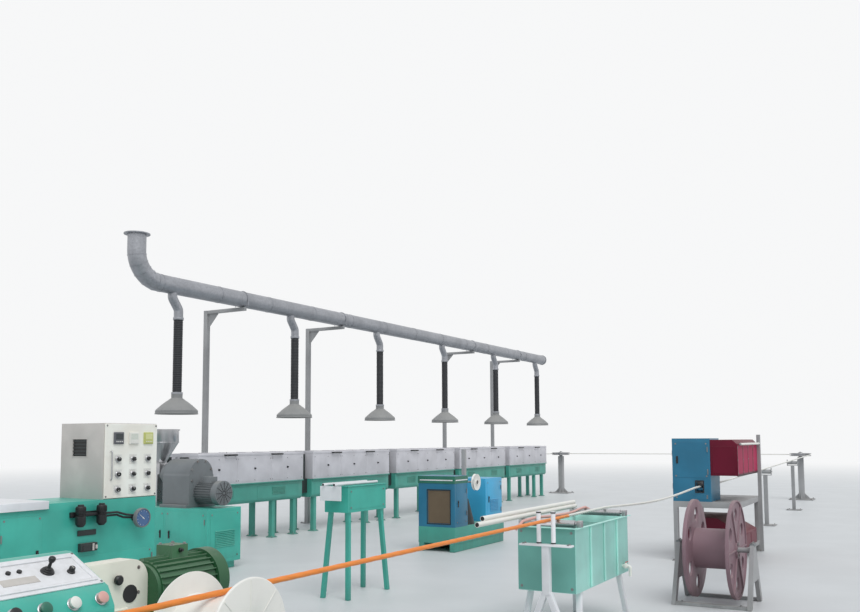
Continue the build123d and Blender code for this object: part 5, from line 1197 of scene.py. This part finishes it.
extruder = {"x": -4.9, "axis": 1.2, "barrelStart": 2.72, "barrelStop": 3.705, "heaters": 4, "clampGap": 0.045,
            "doorUp": (0.14, 0.73), "inset": 0.025, "cowl": (1.72, 0.97),
            "cowlRings": (0.04, 0.072, 0.104, 0.136),
            "boltRings": ((8, 0.125, 2.72, 1), (8, 0.19, 2.12, -1)), "headFace": -4.75, "hopperShare": 0.17}
cadCopies({"extruder_base": 0.004, "extruder_gearbox": 0.005, "extruder_barrel": 0.002, "extruder_hopper": 0,
           "crosshead": 0.003})
span = extruder["barrelStop"] - extruder["barrelStart"]
middleX, axisZ = extruder["x"], extruder["axis"]
bands, boxes = bmesh.new(), bmesh.new()
for step in range(extruder["heaters"]):
    y = extruder["barrelStart"] + span * (0.42 + 0.15 * step)
    for clampY in (y - extruder["clampGap"], y + extruder["clampGap"]):
        addHoop(bands, 0.117, 0.1215, -0.007, 0.007, (middleX, clampY, axisZ), "Y", 40)
        addBox(bands, (middleX - 0.018, clampY - 0.009, axisZ - 0.14),
               (middleX + 0.018, clampY + 0.009, axisZ - 0.116), 0.002, 1)
    addBox(boxes, (middleX - 0.035, y - 0.03, axisZ + 0.112), (middleX + 0.035, y + 0.03, axisZ + 0.158),
           0.005)
keep("heaterBands", bands, brightSteel)
keep("heaterBoxes", boxes, darkGrey)


def circle(count, radius, first=0.0):
    # places round a circle, first as a share of the gap between two
    angles = [math.tau * (k + first) / count for k in range(count)]
    return [(radius * math.cos(angle), radius * math.sin(angle)) for angle in angles]


for count, radius, y, side in extruder["boltRings"]:
    spots = [((middleX + dx, y, axisZ + dz), (0, side, 0)) for dx, dz in circle(count, radius, 0.5)]
    studs(f"gearboxBolts{y:.0f}{count}", spots, 0.022, 0.01)
spots = [((extruder["headFace"], oven["axis"] + dy, axisZ + dz), (1, 0, 0)) for dy, dz in circle(8, 0.1)]
studs("crossheadBolts", spots, 0.018, 0.01)
hopperPlace = (middleX, extruder["barrelStart"] + extruder["hopperShare"] * span, 0)
work = bmesh.new()
for z, radius in ((1.355, 0.076), (1.79, 0.24)):
    addHoop(work, radius - 0.008, radius + 0.012, z, z + 0.012, hopperPlace)
addLathe(work, [(0.2325, 1.63), (0.243, 1.627), (0.2445, 1.632), (0.243, 1.637)], hopperPlace)
keep("hopperRims", work, brightSteel)
baseLow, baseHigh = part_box("extruder_base")
near, middle, far = baseLow.y + 0.053, (baseLow.y + baseHigh.y) / 2, baseHigh.y - 0.05
spots, doors = [], []
for face, side in ((baseLow.x, -1), (baseHigh.x, 1)):
    for across in ((near, middle - 0.025), (middle + 0.025, far)):
        spots += cornerSpots("X", face, side, across, extruder["doorUp"], extruder["inset"])
    for edge, across in ((near, middle - 0.08), (far, middle + 0.08)):
        doors.append(("X", face, side, edge, (0.25, 0.62), across, 0.44))
spots += cornerSpots("Y", baseLow.y, -1, (baseLow.x + 0.053, baseHigh.x - 0.053), extruder["doorUp"],
                     extruder["inset"])
studs("extruderScrews", spots, 0.014, 0.005)
doorHinges("extruderHinges", doors)
doorLatches("extruderLatches", doors)
cowlGrille("extruderCowl", (middleX, *extruder["cowl"]), "Y", -1, extruder["cowlRings"], castGrey)
gland("extruderGland", (middleX + 0.065, 1.965, 1.148), "X", 1)
louvres("extruderLouvres", (middleX, baseLow.y, 0.5), -1, 10, 0.36, tealPaint)
print("extruder ready")


# capstan station and its guards

capstan = {"slotY": (-3.595, -3.505), "slotZ": (0.93, 1.07), "slotEdge": 0.014, "rodY": -4.084, "rodZ": 1.57,
           "guardFront": -4.05, "straps": 5, "strapWidth": 0.03, "strapUp": (1.165, 1.56), "foot": 0.12,
           "footX": (-1.37, 0.17), "footY": (-4.02, -3.22), "doorAcross": (-3.67, -3.22),
           "doorUp": ((1.12, 1.6), (0.83, 0.9)), "edgingY": -4.046, "edgingZ": 1.148}
cadCopies({"capstan_cabinet": 0.004, "capstan_frame": 0.003, "capstan_guards": 0.006})
capLow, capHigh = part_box("capstan_cabinet")
work, spots = bmesh.new(), []
doorFace = capLow.x - sheet["gauge"]
for up in capstan["doorUp"]:
    proud(work, "X", capLow.x, -1, capstan["doorAcross"], up)
    spots += cornerSpots("X", doorFace, -1, capstan["doorAcross"], up, 0.022)
keep("capstanDoors", work, bluePaint)
spots += cornerSpots("Y", capHigh.y, 1, (-1.35, -0.85), (0.85, 1.6), 0.022)
studs("capstanScrews", spots, 0.013, 0.005)
pieceOf("slotSurrounds", rubber, [
    (proud, "X", face, side, across, up, 0.005, 0.001) for face, side in ((capLow.x, -1), (capHigh.x, 1))
    for across, up in frameBars(capstan["slotY"], capstan["slotZ"], capstan["slotEdge"])], "black_plastic")
capstanDoors = [("X", doorFace, -1, -3.665, (1.2, 1.5), -3.26, 1.36),
                ("Y", capHigh.y, 1, -1.35, (1.0, 1.45), -0.9, 1.22)]
doorHinges("capstanHinges", capstanDoors)
doorLatches("capstanLatches", capstanDoors)
louvres("capstanLouvres", (-1.1, capHigh.y, 1.42), 1, 8, 0.3, bluePaint)

guardLow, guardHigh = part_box("capstan_guards")
guardFront = capstan["guardFront"]
strapGap = (guardHigh.x - guardLow.x - 0.04) / (capstan["straps"] - 1)
straps = [guardLow.x + 0.02 + step * strapGap for step in range(capstan["straps"])]
work, spots = bmesh.new(), []
for x in straps:
    proud(work, "Y", guardFront, -1, around(x, capstan["strapWidth"]), capstan["strapUp"], 0.004, 0.0015)
    spots += [((x, guardFront - 0.004, z), (0, -1, 0)) for z in (1.19, 1.36, 1.53)]
proud(work, "X", guardLow.x, -1, (-4.02, -3.73), (1.18, 1.54), 0.004, 0.0015)
for across in ((-1.06, -0.62), (-0.58, -0.14)):
    proud(work, "Y", guardFront, -1, across, (0.18, 0.34), 0.004, 0.0015)
keep("guardStraps", work, crimsonPaint)
# pink panels between the straps in the lighter copy of the crimson paint: painted light on the front face
pieceOf("guardPanels", rosePaint, [
    (proud, "Y", guardFront, -1, around(x + strapGap / 2, 0.35), (1.175, 1.55), 0.002, 0.0008)
    for x in straps[:-1]])
studs("guardRivets", spots, 0.012, 0.004)
edging = [(x, capstan["edgingY"], capstan["edgingZ"]) for x in (guardLow.x + 0.004, guardHigh.x - 0.004)]
pieceOf("guardEdging", rubber, [(addTube, edging, 0.008, 12)], "black_plastic")
rodStart, rodStop = [(x, capstan["rodY"], capstan["rodZ"]) for x in (-1.338, 0.144)]
pieceOf("capstanRodSleeve", whitePlastic, [(addRod, rodStart, rodStop, 0.0155, 20)])
work, spots = bmesh.new(), []
for x in capstan["footX"]:
    for y in capstan["footY"]:
        plate = (around(x, capstan["foot"]), around(y, capstan["foot"]))
        proud(work, "Z", 0, 1, *plate, 0.008, 0.002)
        spots += cornerSpots("Z", 0.008, 1, *plate, 0.02)
keep("capstanFeet", work, postGrey)
studs("capstanFootBolts", spots, 0.014, 0.008)
print("capstan ready")


# steel reel and stand

reel = {"x": -4.25, "z": 0.535, "rows": (-4.7, -3.98), "standTop": 0.59, "plate": 0.04, "hubBolts": 6}
capTop = reel["standTop"] + 0.016
cadCopies({"steel_reel": 0.002, "reel_stand": 0.003})
pieceOf("reelCaps", castGrey, [
    (addBox, (reel["x"] - 0.052, low - 0.004, reel["standTop"] - 0.012),
     (reel["x"] + 0.052, low + reel["plate"] + 0.004, capTop), 0.004) for low in reel["rows"]], "grey_paint")
spots = [(reel["x"] + dx, low + reel["plate"] / 2, capTop) for low in reel["rows"] for dx in (-0.034, 0.034)]
spots += [(reel["x"] + dx, y, 0.03) for dx in (-0.29, 0.29) for y in (-4.6, -4.04)]
studs("reelBolts", [(spot, (0, 0, 1)) for spot in spots], 0.018, 0.01)
for share, y in (("a", -4.546), ("b", -4.1)):
    work = bmesh.new()
    addBox(work, (0.05, -0.009, 0), (0.078, 0.009, 0.006), 0.002, 1)
    ringOf(f"reelHubBolts{share}", work, reel["hubBolts"], (reel["x"], y, reel["z"]), "Y", boltSteel,
           "reel_paint", "steel_reel_rotor")
print("reel ready")


# cooling tank, guide and what lies on them

tank = {"left": -6.71, "right": -5.3, "front": -3.735, "rear": -3.225, "floor": 0.41, "top": 0.93,
        "water": 0.85, "wall": 0.0065, "drain": -5.48, "hoseY": -3.36, "guideX": -6.88}
cadCopy("tank_shell", 0.0012, 1)
cadCopies({"tank_legs": 0.004, "tank_rollers": 0.002, "tank_tubes": 0, "tank_guide": 0.003})

waterSurface, make, shader = newMaterial("waterSurface")
place = make.node("ShaderNodeTexCoord", output=3)
ripple = mixColour(make, noise(make, place, 5, 3).between(0.3, 0.8), srgb(70, 110, 104), srgb(110, 150, 140))
connect(ripple, shader, "Base Color")
connect(bump(make, noise(make, place, 22, 2), 0.3, 0.004), shader, "Normal")
shader.inputs["Roughness"].default_value = 0.06
shader.inputs["Specular IOR Level"].default_value = 0.6
pieceOf("tankWater", waterSurface, [
    (addBox, (tank["left"] + tank["wall"], tank["front"] + tank["wall"], tank["water"] - 0.01),
     (tank["right"] - tank["wall"], tank["rear"] - tank["wall"], tank["water"]))])

ribPlaces = (tank["left"] + 0.35, (tank["left"] + tank["right"]) / 2, tank["right"] - 0.35)
pieceOf("tankRibs", tankAqua, [
    (proud, "Y", face, side, around(x, 0.03), (tank["floor"] + 0.01, tank["top"] - 0.008), 0.012, 0.003)
    for x in ribPlaces for face, side in ((tank["front"], -1), (tank["rear"], 1))])
# end plates in the darker copy of the tank paint: painted shade on both ends
work, spots = bmesh.new(), []
across, up = (tank["front"] + 0.006, tank["rear"] - 0.006), (tank["floor"] + 0.006, tank["top"] - 0.008)
for face, side in ((tank["left"], -1), (tank["right"], 1)):
    proud(work, "X", face, side, across, up)
    spots += cornerSpots("X", face + side * sheet["gauge"], side, across, up, 0.03)
keep("tankEnds", work, tankShade)
studs("tankBolts", spots, 0.014, 0.005)

drainX, drainY, drainZ = tank["drain"], tank["front"], tank["floor"] + 0.07
spout = [(drainX, drainY + 0.002, drainZ), (drainX, drainY - 0.07, drainZ),
         (drainX, drainY - 0.07, drainZ - 0.09)]
pieceOf("tankDrain", whitePlastic, [
    (addTube, roundedPath(spout, 0.02), 0.014, 16),
    (addBox, (drainX - 0.02, drainY - 0.045, drainZ - 0.02),
     (drainX + 0.02, drainY - 0.012, drainZ + 0.02), 0.006),
    (addRod, (drainX, drainY - 0.028, drainZ + 0.018), (drainX, drainY - 0.028, drainZ + 0.032), 0.007, 14)])
pieceOf("drainLever", redPlastic, [
    (addBox, (drainX - 0.008, drainY - 0.034, drainZ + 0.03), (drainX + 0.06, drainY - 0.022, drainZ + 0.037),
     0.003, 1)], "white_plastic")

hoseY = tank["hoseY"]
hose = [(-6.97, hoseY + 0.03, 0.93), (-6.86, hoseY + 0.02, 0.985)]
for k in range(13):
    droop = 0.022 * math.sin(math.pi * k / 12)
    hose.append((tank["left"] + 0.1 + 1.21 * k / 12, hoseY - 0.01 * math.sin(k), 0.999 - droop))
hose += [(tank["right"] - 0.03, hoseY - 0.01, 0.975)]
pieceOf("tankHose", pinkHose, [(addTube, roundedPath(hose, 0.05, 3), 0.012, 14)], "white_plastic")


def mouths(name, ends, radius, sides, slot):
    # dark discs over the open ends of tubes along X: painted shade for the inside of each tube
    pieceOf(name, rubber, [(addDisc, radius, side * 0.0006, end, "X", sides) for end, side in ends], slot)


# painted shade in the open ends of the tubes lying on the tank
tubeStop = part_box("tank_tubes")[1].x
ends = [((x, y, z), side) for start, y, z in ((-7.47, -3.231, 1.0037), (-7.35, -3.217, 1.0397))
        for x, side in ((start, -1), (tubeStop, 1))]
mouths("tubeMouthShades", ends, 0.0165, 24, "white_plastic")
guideX, guideY = tank["guideX"], cable["returnY"]
pieceOf("guideCollars", blackPlastic, [
    (addDisc, 0.0205, 0.01, (guideX, guideY + dy, z)) for dy in (-0.062, 0.062) for z in (0.82, 1.06)],
    "white_plastic")
spots = [((guideX + dx, guideY + dy, 0.814), (0, 0, 1)) for dx in (-0.022, 0.022) for dy in (-0.19, 0.19)]
studs("guideBolts", spots, 0.014, 0.008)
print("tank ready")


# take-up: frame, bobbins, console, motor and belt guard

takeup = {"bobbins": {"takeup_bobbin": -11.7, "guide_bobbin": -10.57}, "y": -3.55, "z": 0.8427,
          "outer": 0.174, "ribs": 8, "ribThickness": 0.0025, "knobY": -3.762, "grips": 16, "turns": 5,
          "pitch": 0.0285, "cableRadius": 0.0138, "windRadius": 0.157, "front": -3.833, "rear": -3.267,
          "panels": ((-12.15, -11.15), (-11.05, -10.05)), "panelUp": (0.11, 0.51),
          "louvrePlaces": (-11.65, -10.55)}
cadCopies({"takeup_frame": 0.004, "takeup_bobbin": 0.0015, "guide_bobbin": 0.0015})
for number, (node, x) in enumerate(takeup["bobbins"].items(), 1):
    for share, side in (("a", -1), ("b", 1)):
        low, high = sorted((0, side * takeup["ribThickness"]))
        rib = bmesh.new()
        addBox(rib, (0.066, -0.004, low), (0.226, 0.004, high), 0.001, 1)
        ringOf(f"bobbinRibs{number}{share}", rib, takeup["ribs"],
               (x, takeup["y"] + side * takeup["outer"], takeup["z"]), "Y", whitePlastic,
               body=node + "_rotor")
    knobPlace = (x, takeup["knobY"], takeup["z"])
    pieceOf(f"shaftKnob{number}", blackPlastic, [
        (addLathe, [(0, 0), (0.0495, 0), (0.0495, -0.058), (0.044, -0.07), (0.03, -0.0735), (0, -0.0735)],
         knobPlace, "Y", 40)], "teal_paint")
    ridge = bmesh.new()
    addBox(ridge, (0.0485, -0.003, -0.055), (0.0525, 0.003, -0.008), 0.0015, 1)
    ringOf(f"knobGrip{number}", ridge, takeup["grips"], knobPlace, "Y", blackPlastic, "teal_paint")
turnShape = [(takeup["windRadius"] + dx, dy) for dx, dy in circle(12, takeup["cableRadius"])]
for share, side in (("a", -1), ("b", 1)):
    work = bmesh.new()
    addLathe(work, turnShape, axis="Y", sides=56)
    rowOf(f"woundCable{share}", work, takeup["turns"], (0, side * takeup["pitch"], 0),
          (takeup["bobbins"]["takeup_bobbin"], takeup["y"] + side * 0.0325, takeup["z"]), orangeSheath,
          "white_plastic", "takeup_bobbin_rotor")
spots = [((x + dx, takeup["y"] + side * 0.212, 0.6), (0, side, 0)) for x in takeup["bobbins"].values()
         for dx in (-0.07, 0.07) for side in (-1, 1)]
for span in takeup["panels"]:
    for face, side in ((takeup["front"], -1), (takeup["rear"], 1)):
        spots += cornerSpots("Y", face, side, span, takeup["panelUp"], 0.025)
studs("takeupBolts", spots, 0.015, 0.006)
for number, x in enumerate(takeup["louvrePlaces"], 1):
    louvres(f"takeupLouvres{number}", (x, takeup["front"], 0.42), -1, 8, 0.4, tealPaint)

desk = {"middle": (-10.56, -2.32, 0.98), "up": (0, 0.8824, 0.4706), "out": (0, -0.4706, 0.8824), "width": 0.6,
        "depth": 0.29, "thick": 0.008, "rimAcross": (-0.26, 0.26), "rimUp": (-0.1, 0.1), "rim": 0.02}
cadCopy("takeup_console", 0.005)
deskTurn = Matrix(((1, 0, 0), desk["up"], desk["out"])).transposed()
deskPlace = Matrix.Translation(desk["middle"]) @ deskTurn.to_4x4()
halfWidth, halfDepth = desk["width"] / 2, desk["depth"] / 2
pieceOf("consoleDesk", sheetWhite, [
    (addBox, (-halfWidth, -halfDepth, 0), (halfWidth, halfDepth, desk["thick"]), 0.003)] + [
    (addBox, (across[0], up[0], 0.007), (across[1], up[1], 0.016), 0.003)
    for across, up in frameBars(desk["rimAcross"], desk["rimUp"], desk["rim"])],
    stands=("console_panel",), place=deskPlace)
joystick = [(0, 0.007), (0.036, 0.007), (0.034, 0.014), (0.027, 0.018), (0.029, 0.022), (0.02, 0.026),
            (0.021, 0.03), (0.011, 0.035), (0.009, 0.04), (0.008, 0.062), (0.013, 0.068), (0.018, 0.08),
            (0.016, 0.092), (0.008, 0.098), (0, 0.099)]
dial = [(0, 0.007), (0.021, 0.007), (0.0205, 0.014), (0.0165, 0.017), (0.0155, 0.036), (0.013, 0.0385),
        (0, 0.0385)]
lamp = [(0, 0.007), (0.013, 0.007), (0.012, 0.018), (0, 0.019)]
pieceOf("consoleKnobs", blackPlastic, [
    (addLathe, joystick, (0.06, 0.01, 0), "Z", 28), (addLathe, dial, (0.18, -0.02, 0), "Z", 28),
    (addLathe, lamp, (-0.08, 0.04, 0), "Z", 20), (addLathe, lamp, (-0.14, 0.04, 0), "Z", 20)],
    "sheet_white", place=deskPlace)
pieceOf("consoleInlay", cabinetGrey, [
    (addBox, (-0.22, -0.06, 0.007), (-0.02, -0.005, 0.011), 0.002, 1),
    (addBox, (0.178, -0.032, 0.0385), (0.182, -0.008, 0.0395))], "sheet_white", place=deskPlace)
studs("consoleScrews", [(deskPlace @ Vector((x, y, desk["thick"])), Vector(desk["out"]))
                        for x in (-0.29, 0.29) for y in (-0.134, 0.134)], 0.009, 0.003)

ledge = {"y": -2.5, "z": 0.845, "tilt": 61.4,
         "buttons": ((-0.25, blackPlastic), (-0.09, deepGreenPaint), (0.075, whitePlastic), (0.24, pinkHose))}
button = [(0, 0.004), (0.023, 0.004), (0.0235, 0.019), (0.03, 0.021), (0.031, 0.027), (0.024, 0.032),
          (0, 0.034)]
collars = bmesh.new()
for number, (dx, finish) in enumerate(ledge["buttons"], 1):
    place = Matrix.Translation((desk["middle"][0] + dx, ledge["y"], ledge["z"]))
    place = place @ Matrix.Rotation(math.radians(ledge["tilt"]), 4, "X")
    pieceOf(f"consoleButton{number}", finish, [(addLathe, button, (0, 0, 0), "Z", 28)], "teal_paint",
            place=place)
    collar = bmesh.new()
    addLathe(collar, [(0, 0), (0.034, 0), (0.034, 0.003), (0.029, 0.006), (0, 0.006)], sides=28)
    mergeInto(collars, collar, place)
keep("buttonCollars", collars, brightSteel, "teal_paint")
door = {"face": -2.53, "across": (-10.83, -10.29), "up": (0.08, 0.72)}
doorFace = door["face"] - sheet["gauge"]
pieceOf("consoleDoor", tealPaint, [(proud, "Y", door["face"], -1, door["across"], door["up"])])
consoleDoors = [("Y", doorFace, -1, door["across"][0], (0.2, 0.6), -10.35, 0.45)]
doorHinges("consoleHinges", consoleDoors)
doorLatches("consoleLatch", consoleDoors)
studs("consoleDoorScrews", cornerSpots("Y", doorFace, -1, door["across"], door["up"], 0.025), 0.013, 0.005)
louvres("consoleLouvres", (desk["middle"][0], doorFace, 0.34), -1, 8, 0.34, tealPaint)

motor = {"y": -2.2, "z": 0.79, "cowl": -9.245, "rings": (0.05, 0.085, 0.12, 0.155),
         "plate": ((-9.83, -9.27), (-2.41, -1.99)), "plateTop": 0.5,
         "box": ((-9.615, -9.485), (-2.265, -2.135)), "boxTop": 1.025}
cadCopy("takeup_motor", 0.0015, 1)
cowlGrille("takeupCowl", (motor["cowl"], motor["y"], motor["z"]), "X", 1, motor["rings"], motorGreen)
gland("motorGland", (-9.55, -2.265, 0.994), "Y", -1)
spots = cornerSpots("Z", motor["plateTop"], 1, *motor["plate"], 0.03)
spots += cornerSpots("Z", motor["boxTop"], 1, *motor["box"], 0.015)
studs("motorBolts", spots, 0.018, 0.008)

belt = {"face": -2.26, "knob": (-10.02, 0.88), "hub": (-9.92, 0.79), "screwX": (-10.2, -9.86),
        "screwZ": (0.65, 0.79, 0.93)}
cadCopy("belt_guard", 0.008)
knob = [(0, 0), (0.012, 0), (0.012, -0.01), (0.026, -0.014), (0.028, -0.03), (0.02, -0.038), (0, -0.04)]
pieceOf("guardKnob", blackPlastic, [
    (addLathe, knob, (belt["knob"][0], belt["face"], belt["knob"][1]), "Y", 28),
    (addDisc, 0.05, -0.004, (belt["hub"][0], belt["face"], belt["hub"][1]), "Y", 36)], "cream_paint")
spots = [((x, belt["face"], z), (0, -1, 0)) for x in belt["screwX"] for z in belt["screwZ"]]
studs("beltGuardScrews", spots, 0.013, 0.005)
louvres("beltGuardSlots", (-10.04, belt["face"], 0.72), -1, 5, 0.2, creamPaint)
print("take-up ready")


# guide trough and haul-off between the runs

trough = {"across": (-5.915, -5.185), "along": (-0.95, -0.65), "floor": 1.16, "rim": 0.01,
          "tubes": (-0.87, -0.73), "plateAcross": (-5.88, -5.22), "plateUp": (0.92, 1.13)}
cadCopy("guide_trough", 0.0012, 1)
cadCopy("trough_tubes", 0.001, 1)
work = bmesh.new()
for across, along in frameBars(trough["across"], trough["along"], trough["rim"]):
    addBox(work, (across[0], along[0], trough["floor"]), (across[1], along[1], trough["floor"] + 0.01),
           0.0015, 1)
proud(work, "Y", trough["along"][0], -1, trough["plateAcross"], trough["plateUp"])
keep("troughRim", work, tealPaint)
# painted shade in the open ends of the trough tubes
ends = [((x, y, 1.186), side) for y in trough["tubes"] for x, side in ((-6.055, -1), (-5.245, 1))]
mouths("troughTubeMouthShades", ends, 0.013, 20, "sheet_white")
spots = cornerSpots("Y", trough["along"][0] - sheet["gauge"], -1, trough["plateAcross"], trough["plateUp"],
                    0.02)
studs("troughBolts", spots, 0.012, 0.005)

haul = {"left": -2.1, "front": -0.18, "rear": 0.44, "mast": (-1.48, -0.015), "band": (1.0, 1.107),
        "bandRise": 0.006, "strip": (1.04, 1.056), "pulley": (-1.48, -0.22, 1.0),
        "cabinetDoor": ((-2.05, -1.73), (0.41, 1.06)), "driveDoor": ((-0.95, -0.45), (0.41, 0.98)),
        "panel": ((-0.095, 0.275), (0.415, 0.895))}
left, near, far, rise = haul["left"], haul["front"], haul["rear"], haul["bandRise"]
cadCopies({"haul_base": 0.004, "haul_cabinet": 0.004, "haul_drive": 0.004, "haul_mast": 0.002})
cadCopy("haul_pulley", 0.001, 1)
pieceOf("haulBand", deepGreenPaint, [
    (proud, "Y", near, -1, (left - 0.003, left + 0.42), haul["band"], rise, 0.002),
    (proud, "Y", far, 1, (left - 0.003, left + 0.42), haul["band"], rise, 0.002),
    (proud, "X", left, -1, (near - rise, far + rise), haul["band"], rise, 0.002)], "blue_paint")
pieceOf("haulStrip", sheetWhite, [
    (proud, "X", left - rise, -1, (near + 0.03, far - 0.03), haul["strip"], 0.002, 0.0008),
    (proud, "Y", near - rise, -1, (left + 0.02, left + 0.4), haul["strip"], 0.002, 0.0008)], "blue_paint")
pieceOf("haulPanel", brownPanel, [(proud, "X", left + 0.01, -1, *haul["panel"], 0.004, 0.001)],
        "blue_paint")
pieceOf("haulPanelEdge", rubber, [
    (proud, "X", left, -1, across, up, 0.004, 0.001)
    for across, up in (((-0.105, 0.285), (0.9, 0.912)), ((-0.105, 0.285), (0.398, 0.41)),
                       ((-0.112, -0.1), (0.398, 0.912)), ((0.28, 0.292), (0.398, 0.912)))], "blue_paint")
cabinetFace, driveFace = near - sheet["gauge"], near + 0.027
spots = cornerSpots("Y", cabinetFace, -1, *haul["cabinetDoor"], 0.02)
spots += cornerSpots("Y", driveFace, -1, *haul["driveDoor"], 0.02)
studs("haulScrews", spots, 0.013, 0.005)
haulDoors = [("Y", cabinetFace, -1, -1.73, (0.55, 0.88), -2.0, 0.7),
             ("Y", driveFace, -1, -0.45, (0.52, 0.87), -0.9, 0.7)]
doorHinges("haulHinges", haulDoors)
doorLatches("haulLatches", haulDoors)
louvres("haulLouvres", (-0.7, driveFace, 0.7), -1, 9, 0.3, skyBluePaint)
cone = [(0, 0.36), (0.156, 0.36), (0.156, 0.366), (0.0635, 0.741), (0, 0.741)]
pieceOf("haulCone", darkGrey, [(addLathe, cone, (*haul["mast"], 0), "Z", 40)], "grey_paint")
cap = [(0, -0.022), (0.03, -0.022), (0.03, -0.026), (0.012, -0.03), (0, -0.03)]
pieceOf("pulleyCap", boltSteel, [(addLathe, cap, haul["pulley"], "Y", 24)], "white_plastic",
        "haul_pulley_rotor")
print("haul-off ready")


# turning sheaves and roller posts

sheave = {"nodes": {"turn_sheave_rear": 3.55, "turn_sheave_front": -3.3}, "x": 11.9, "z": 1.2,
          "boltRing": 0.058, "bolts": 6, "foot": 0.6, "postFoot": 0.32}
cadCopies({"turn_sheave_rear": 0.002, "turn_sheave_front": 0.002, "turn_stands": 0.004,
           "roller_posts": 0.003})
spots = []
for node, y in sheave["nodes"].items():
    head = bmesh.new()
    addLathe(head, [(0, 0), (0.007, 0), (0.007, 0.006), (0.0055, 0.0075), (0, 0.0075)],
             (sheave["boltRing"], 0, 0), sides=6)
    ringOf(node + "Bolts", head, sheave["bolts"], (sheave["x"], y, sheave["z"] + 0.045), "Z", boltSteel,
           "sheave_steel", node + "_rotor")
    spots += cornerSpots("Z", 0.02, 1, around(sheave["x"], sheave["foot"]), around(y, sheave["foot"]), 0.05)
studs("sheaveStandBolts", spots, 0.03, 0.018)
spots = []
postLow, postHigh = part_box("roller_posts")
for x in (postLow.x + 0.16, postHigh.x - 0.16):
    spots += cornerSpots("Z", 0.012, 1, around(x, sheave["postFoot"]),
                         around(cable["returnY"], sheave["postFoot"]), 0.04)
studs("rollerPostBolts", spots, 0.02, 0.012)
print("sheaves ready")


# floor and backdrop

floorLook = {"dark": srgb(200, 202, 202), "light": srgb(207, 209, 209), "fadeFrom": 15, "fadeTo": 52,
             "reach": 160, "z": -0.002}


def seenRays(make):
    # 1 where the eye sees the surface itself, or its mirror or glass image
    camera, glossy, through = [make.node("ShaderNodeLightPath", output=name)
                               for name in ("Is Camera Ray", "Is Glossy Ray", "Is Transmission Ray")]
    return camera.sum("MAXIMUM", camera, glossy.sum("MAXIMUM", glossy, through))


floorMaterial, make, shader = newMaterial("paleFloor")
place = make.node("ShaderNodeTexCoord", output=3)
grain = noise(make, place, 1.1, 5)
connect(mixColour(make, grain.between(0.3, 0.75), floorLook["dark"], floorLook["light"]), shader,
        "Base Color")
connect(grain * 0.15 + 0.42, shader, "Roughness")
away = make.node("ShaderNodeVectorMath", {"operation": "LENGTH"}, {0: place}, output=1)
glow = make.node("ShaderNodeEmission", {}, {"Color": (*light["backdrop"], 1), "Strength": 1.0})
solid = Wire(make.tree, shader.outputs[0])
fade = away.between(floorLook["fadeFrom"], floorLook["fadeTo"]) * seenRays(make)
faded = make.node("ShaderNodeMixShader", {}, {0: fade, 1: solid, 2: glow})
make.tree.links.new(faded.socket, make.tree.nodes["Material Output"].inputs["Surface"])
reach = floorLook["reach"]
floorMesh = bpy.data.meshes.new("floor")
corners = ((-reach, -reach), (reach, -reach), (reach, reach), (-reach, reach))
floorMesh.from_pydata([(x, y, floorLook["z"]) for x, y in corners], [], [(0, 1, 2, 3)])
floor = meshObject("floor", floorMesh, False)
floorMesh.materials.append(floorMaterial)

world = bpy.data.worlds.new("daylight")
bpy.context.scene.world = world
world.use_nodes = True
make = Wire(world.node_tree, None)
seen = seenRays(make)
background = world.node_tree.nodes["Background"]
connect(mixColour(make, seen, srgb(*light["skyColour"]), light["backdrop"]), background, "Color")
connect(light["sky"] + seen * (1 - light["sky"]), background, "Strength")
print("stage ready")
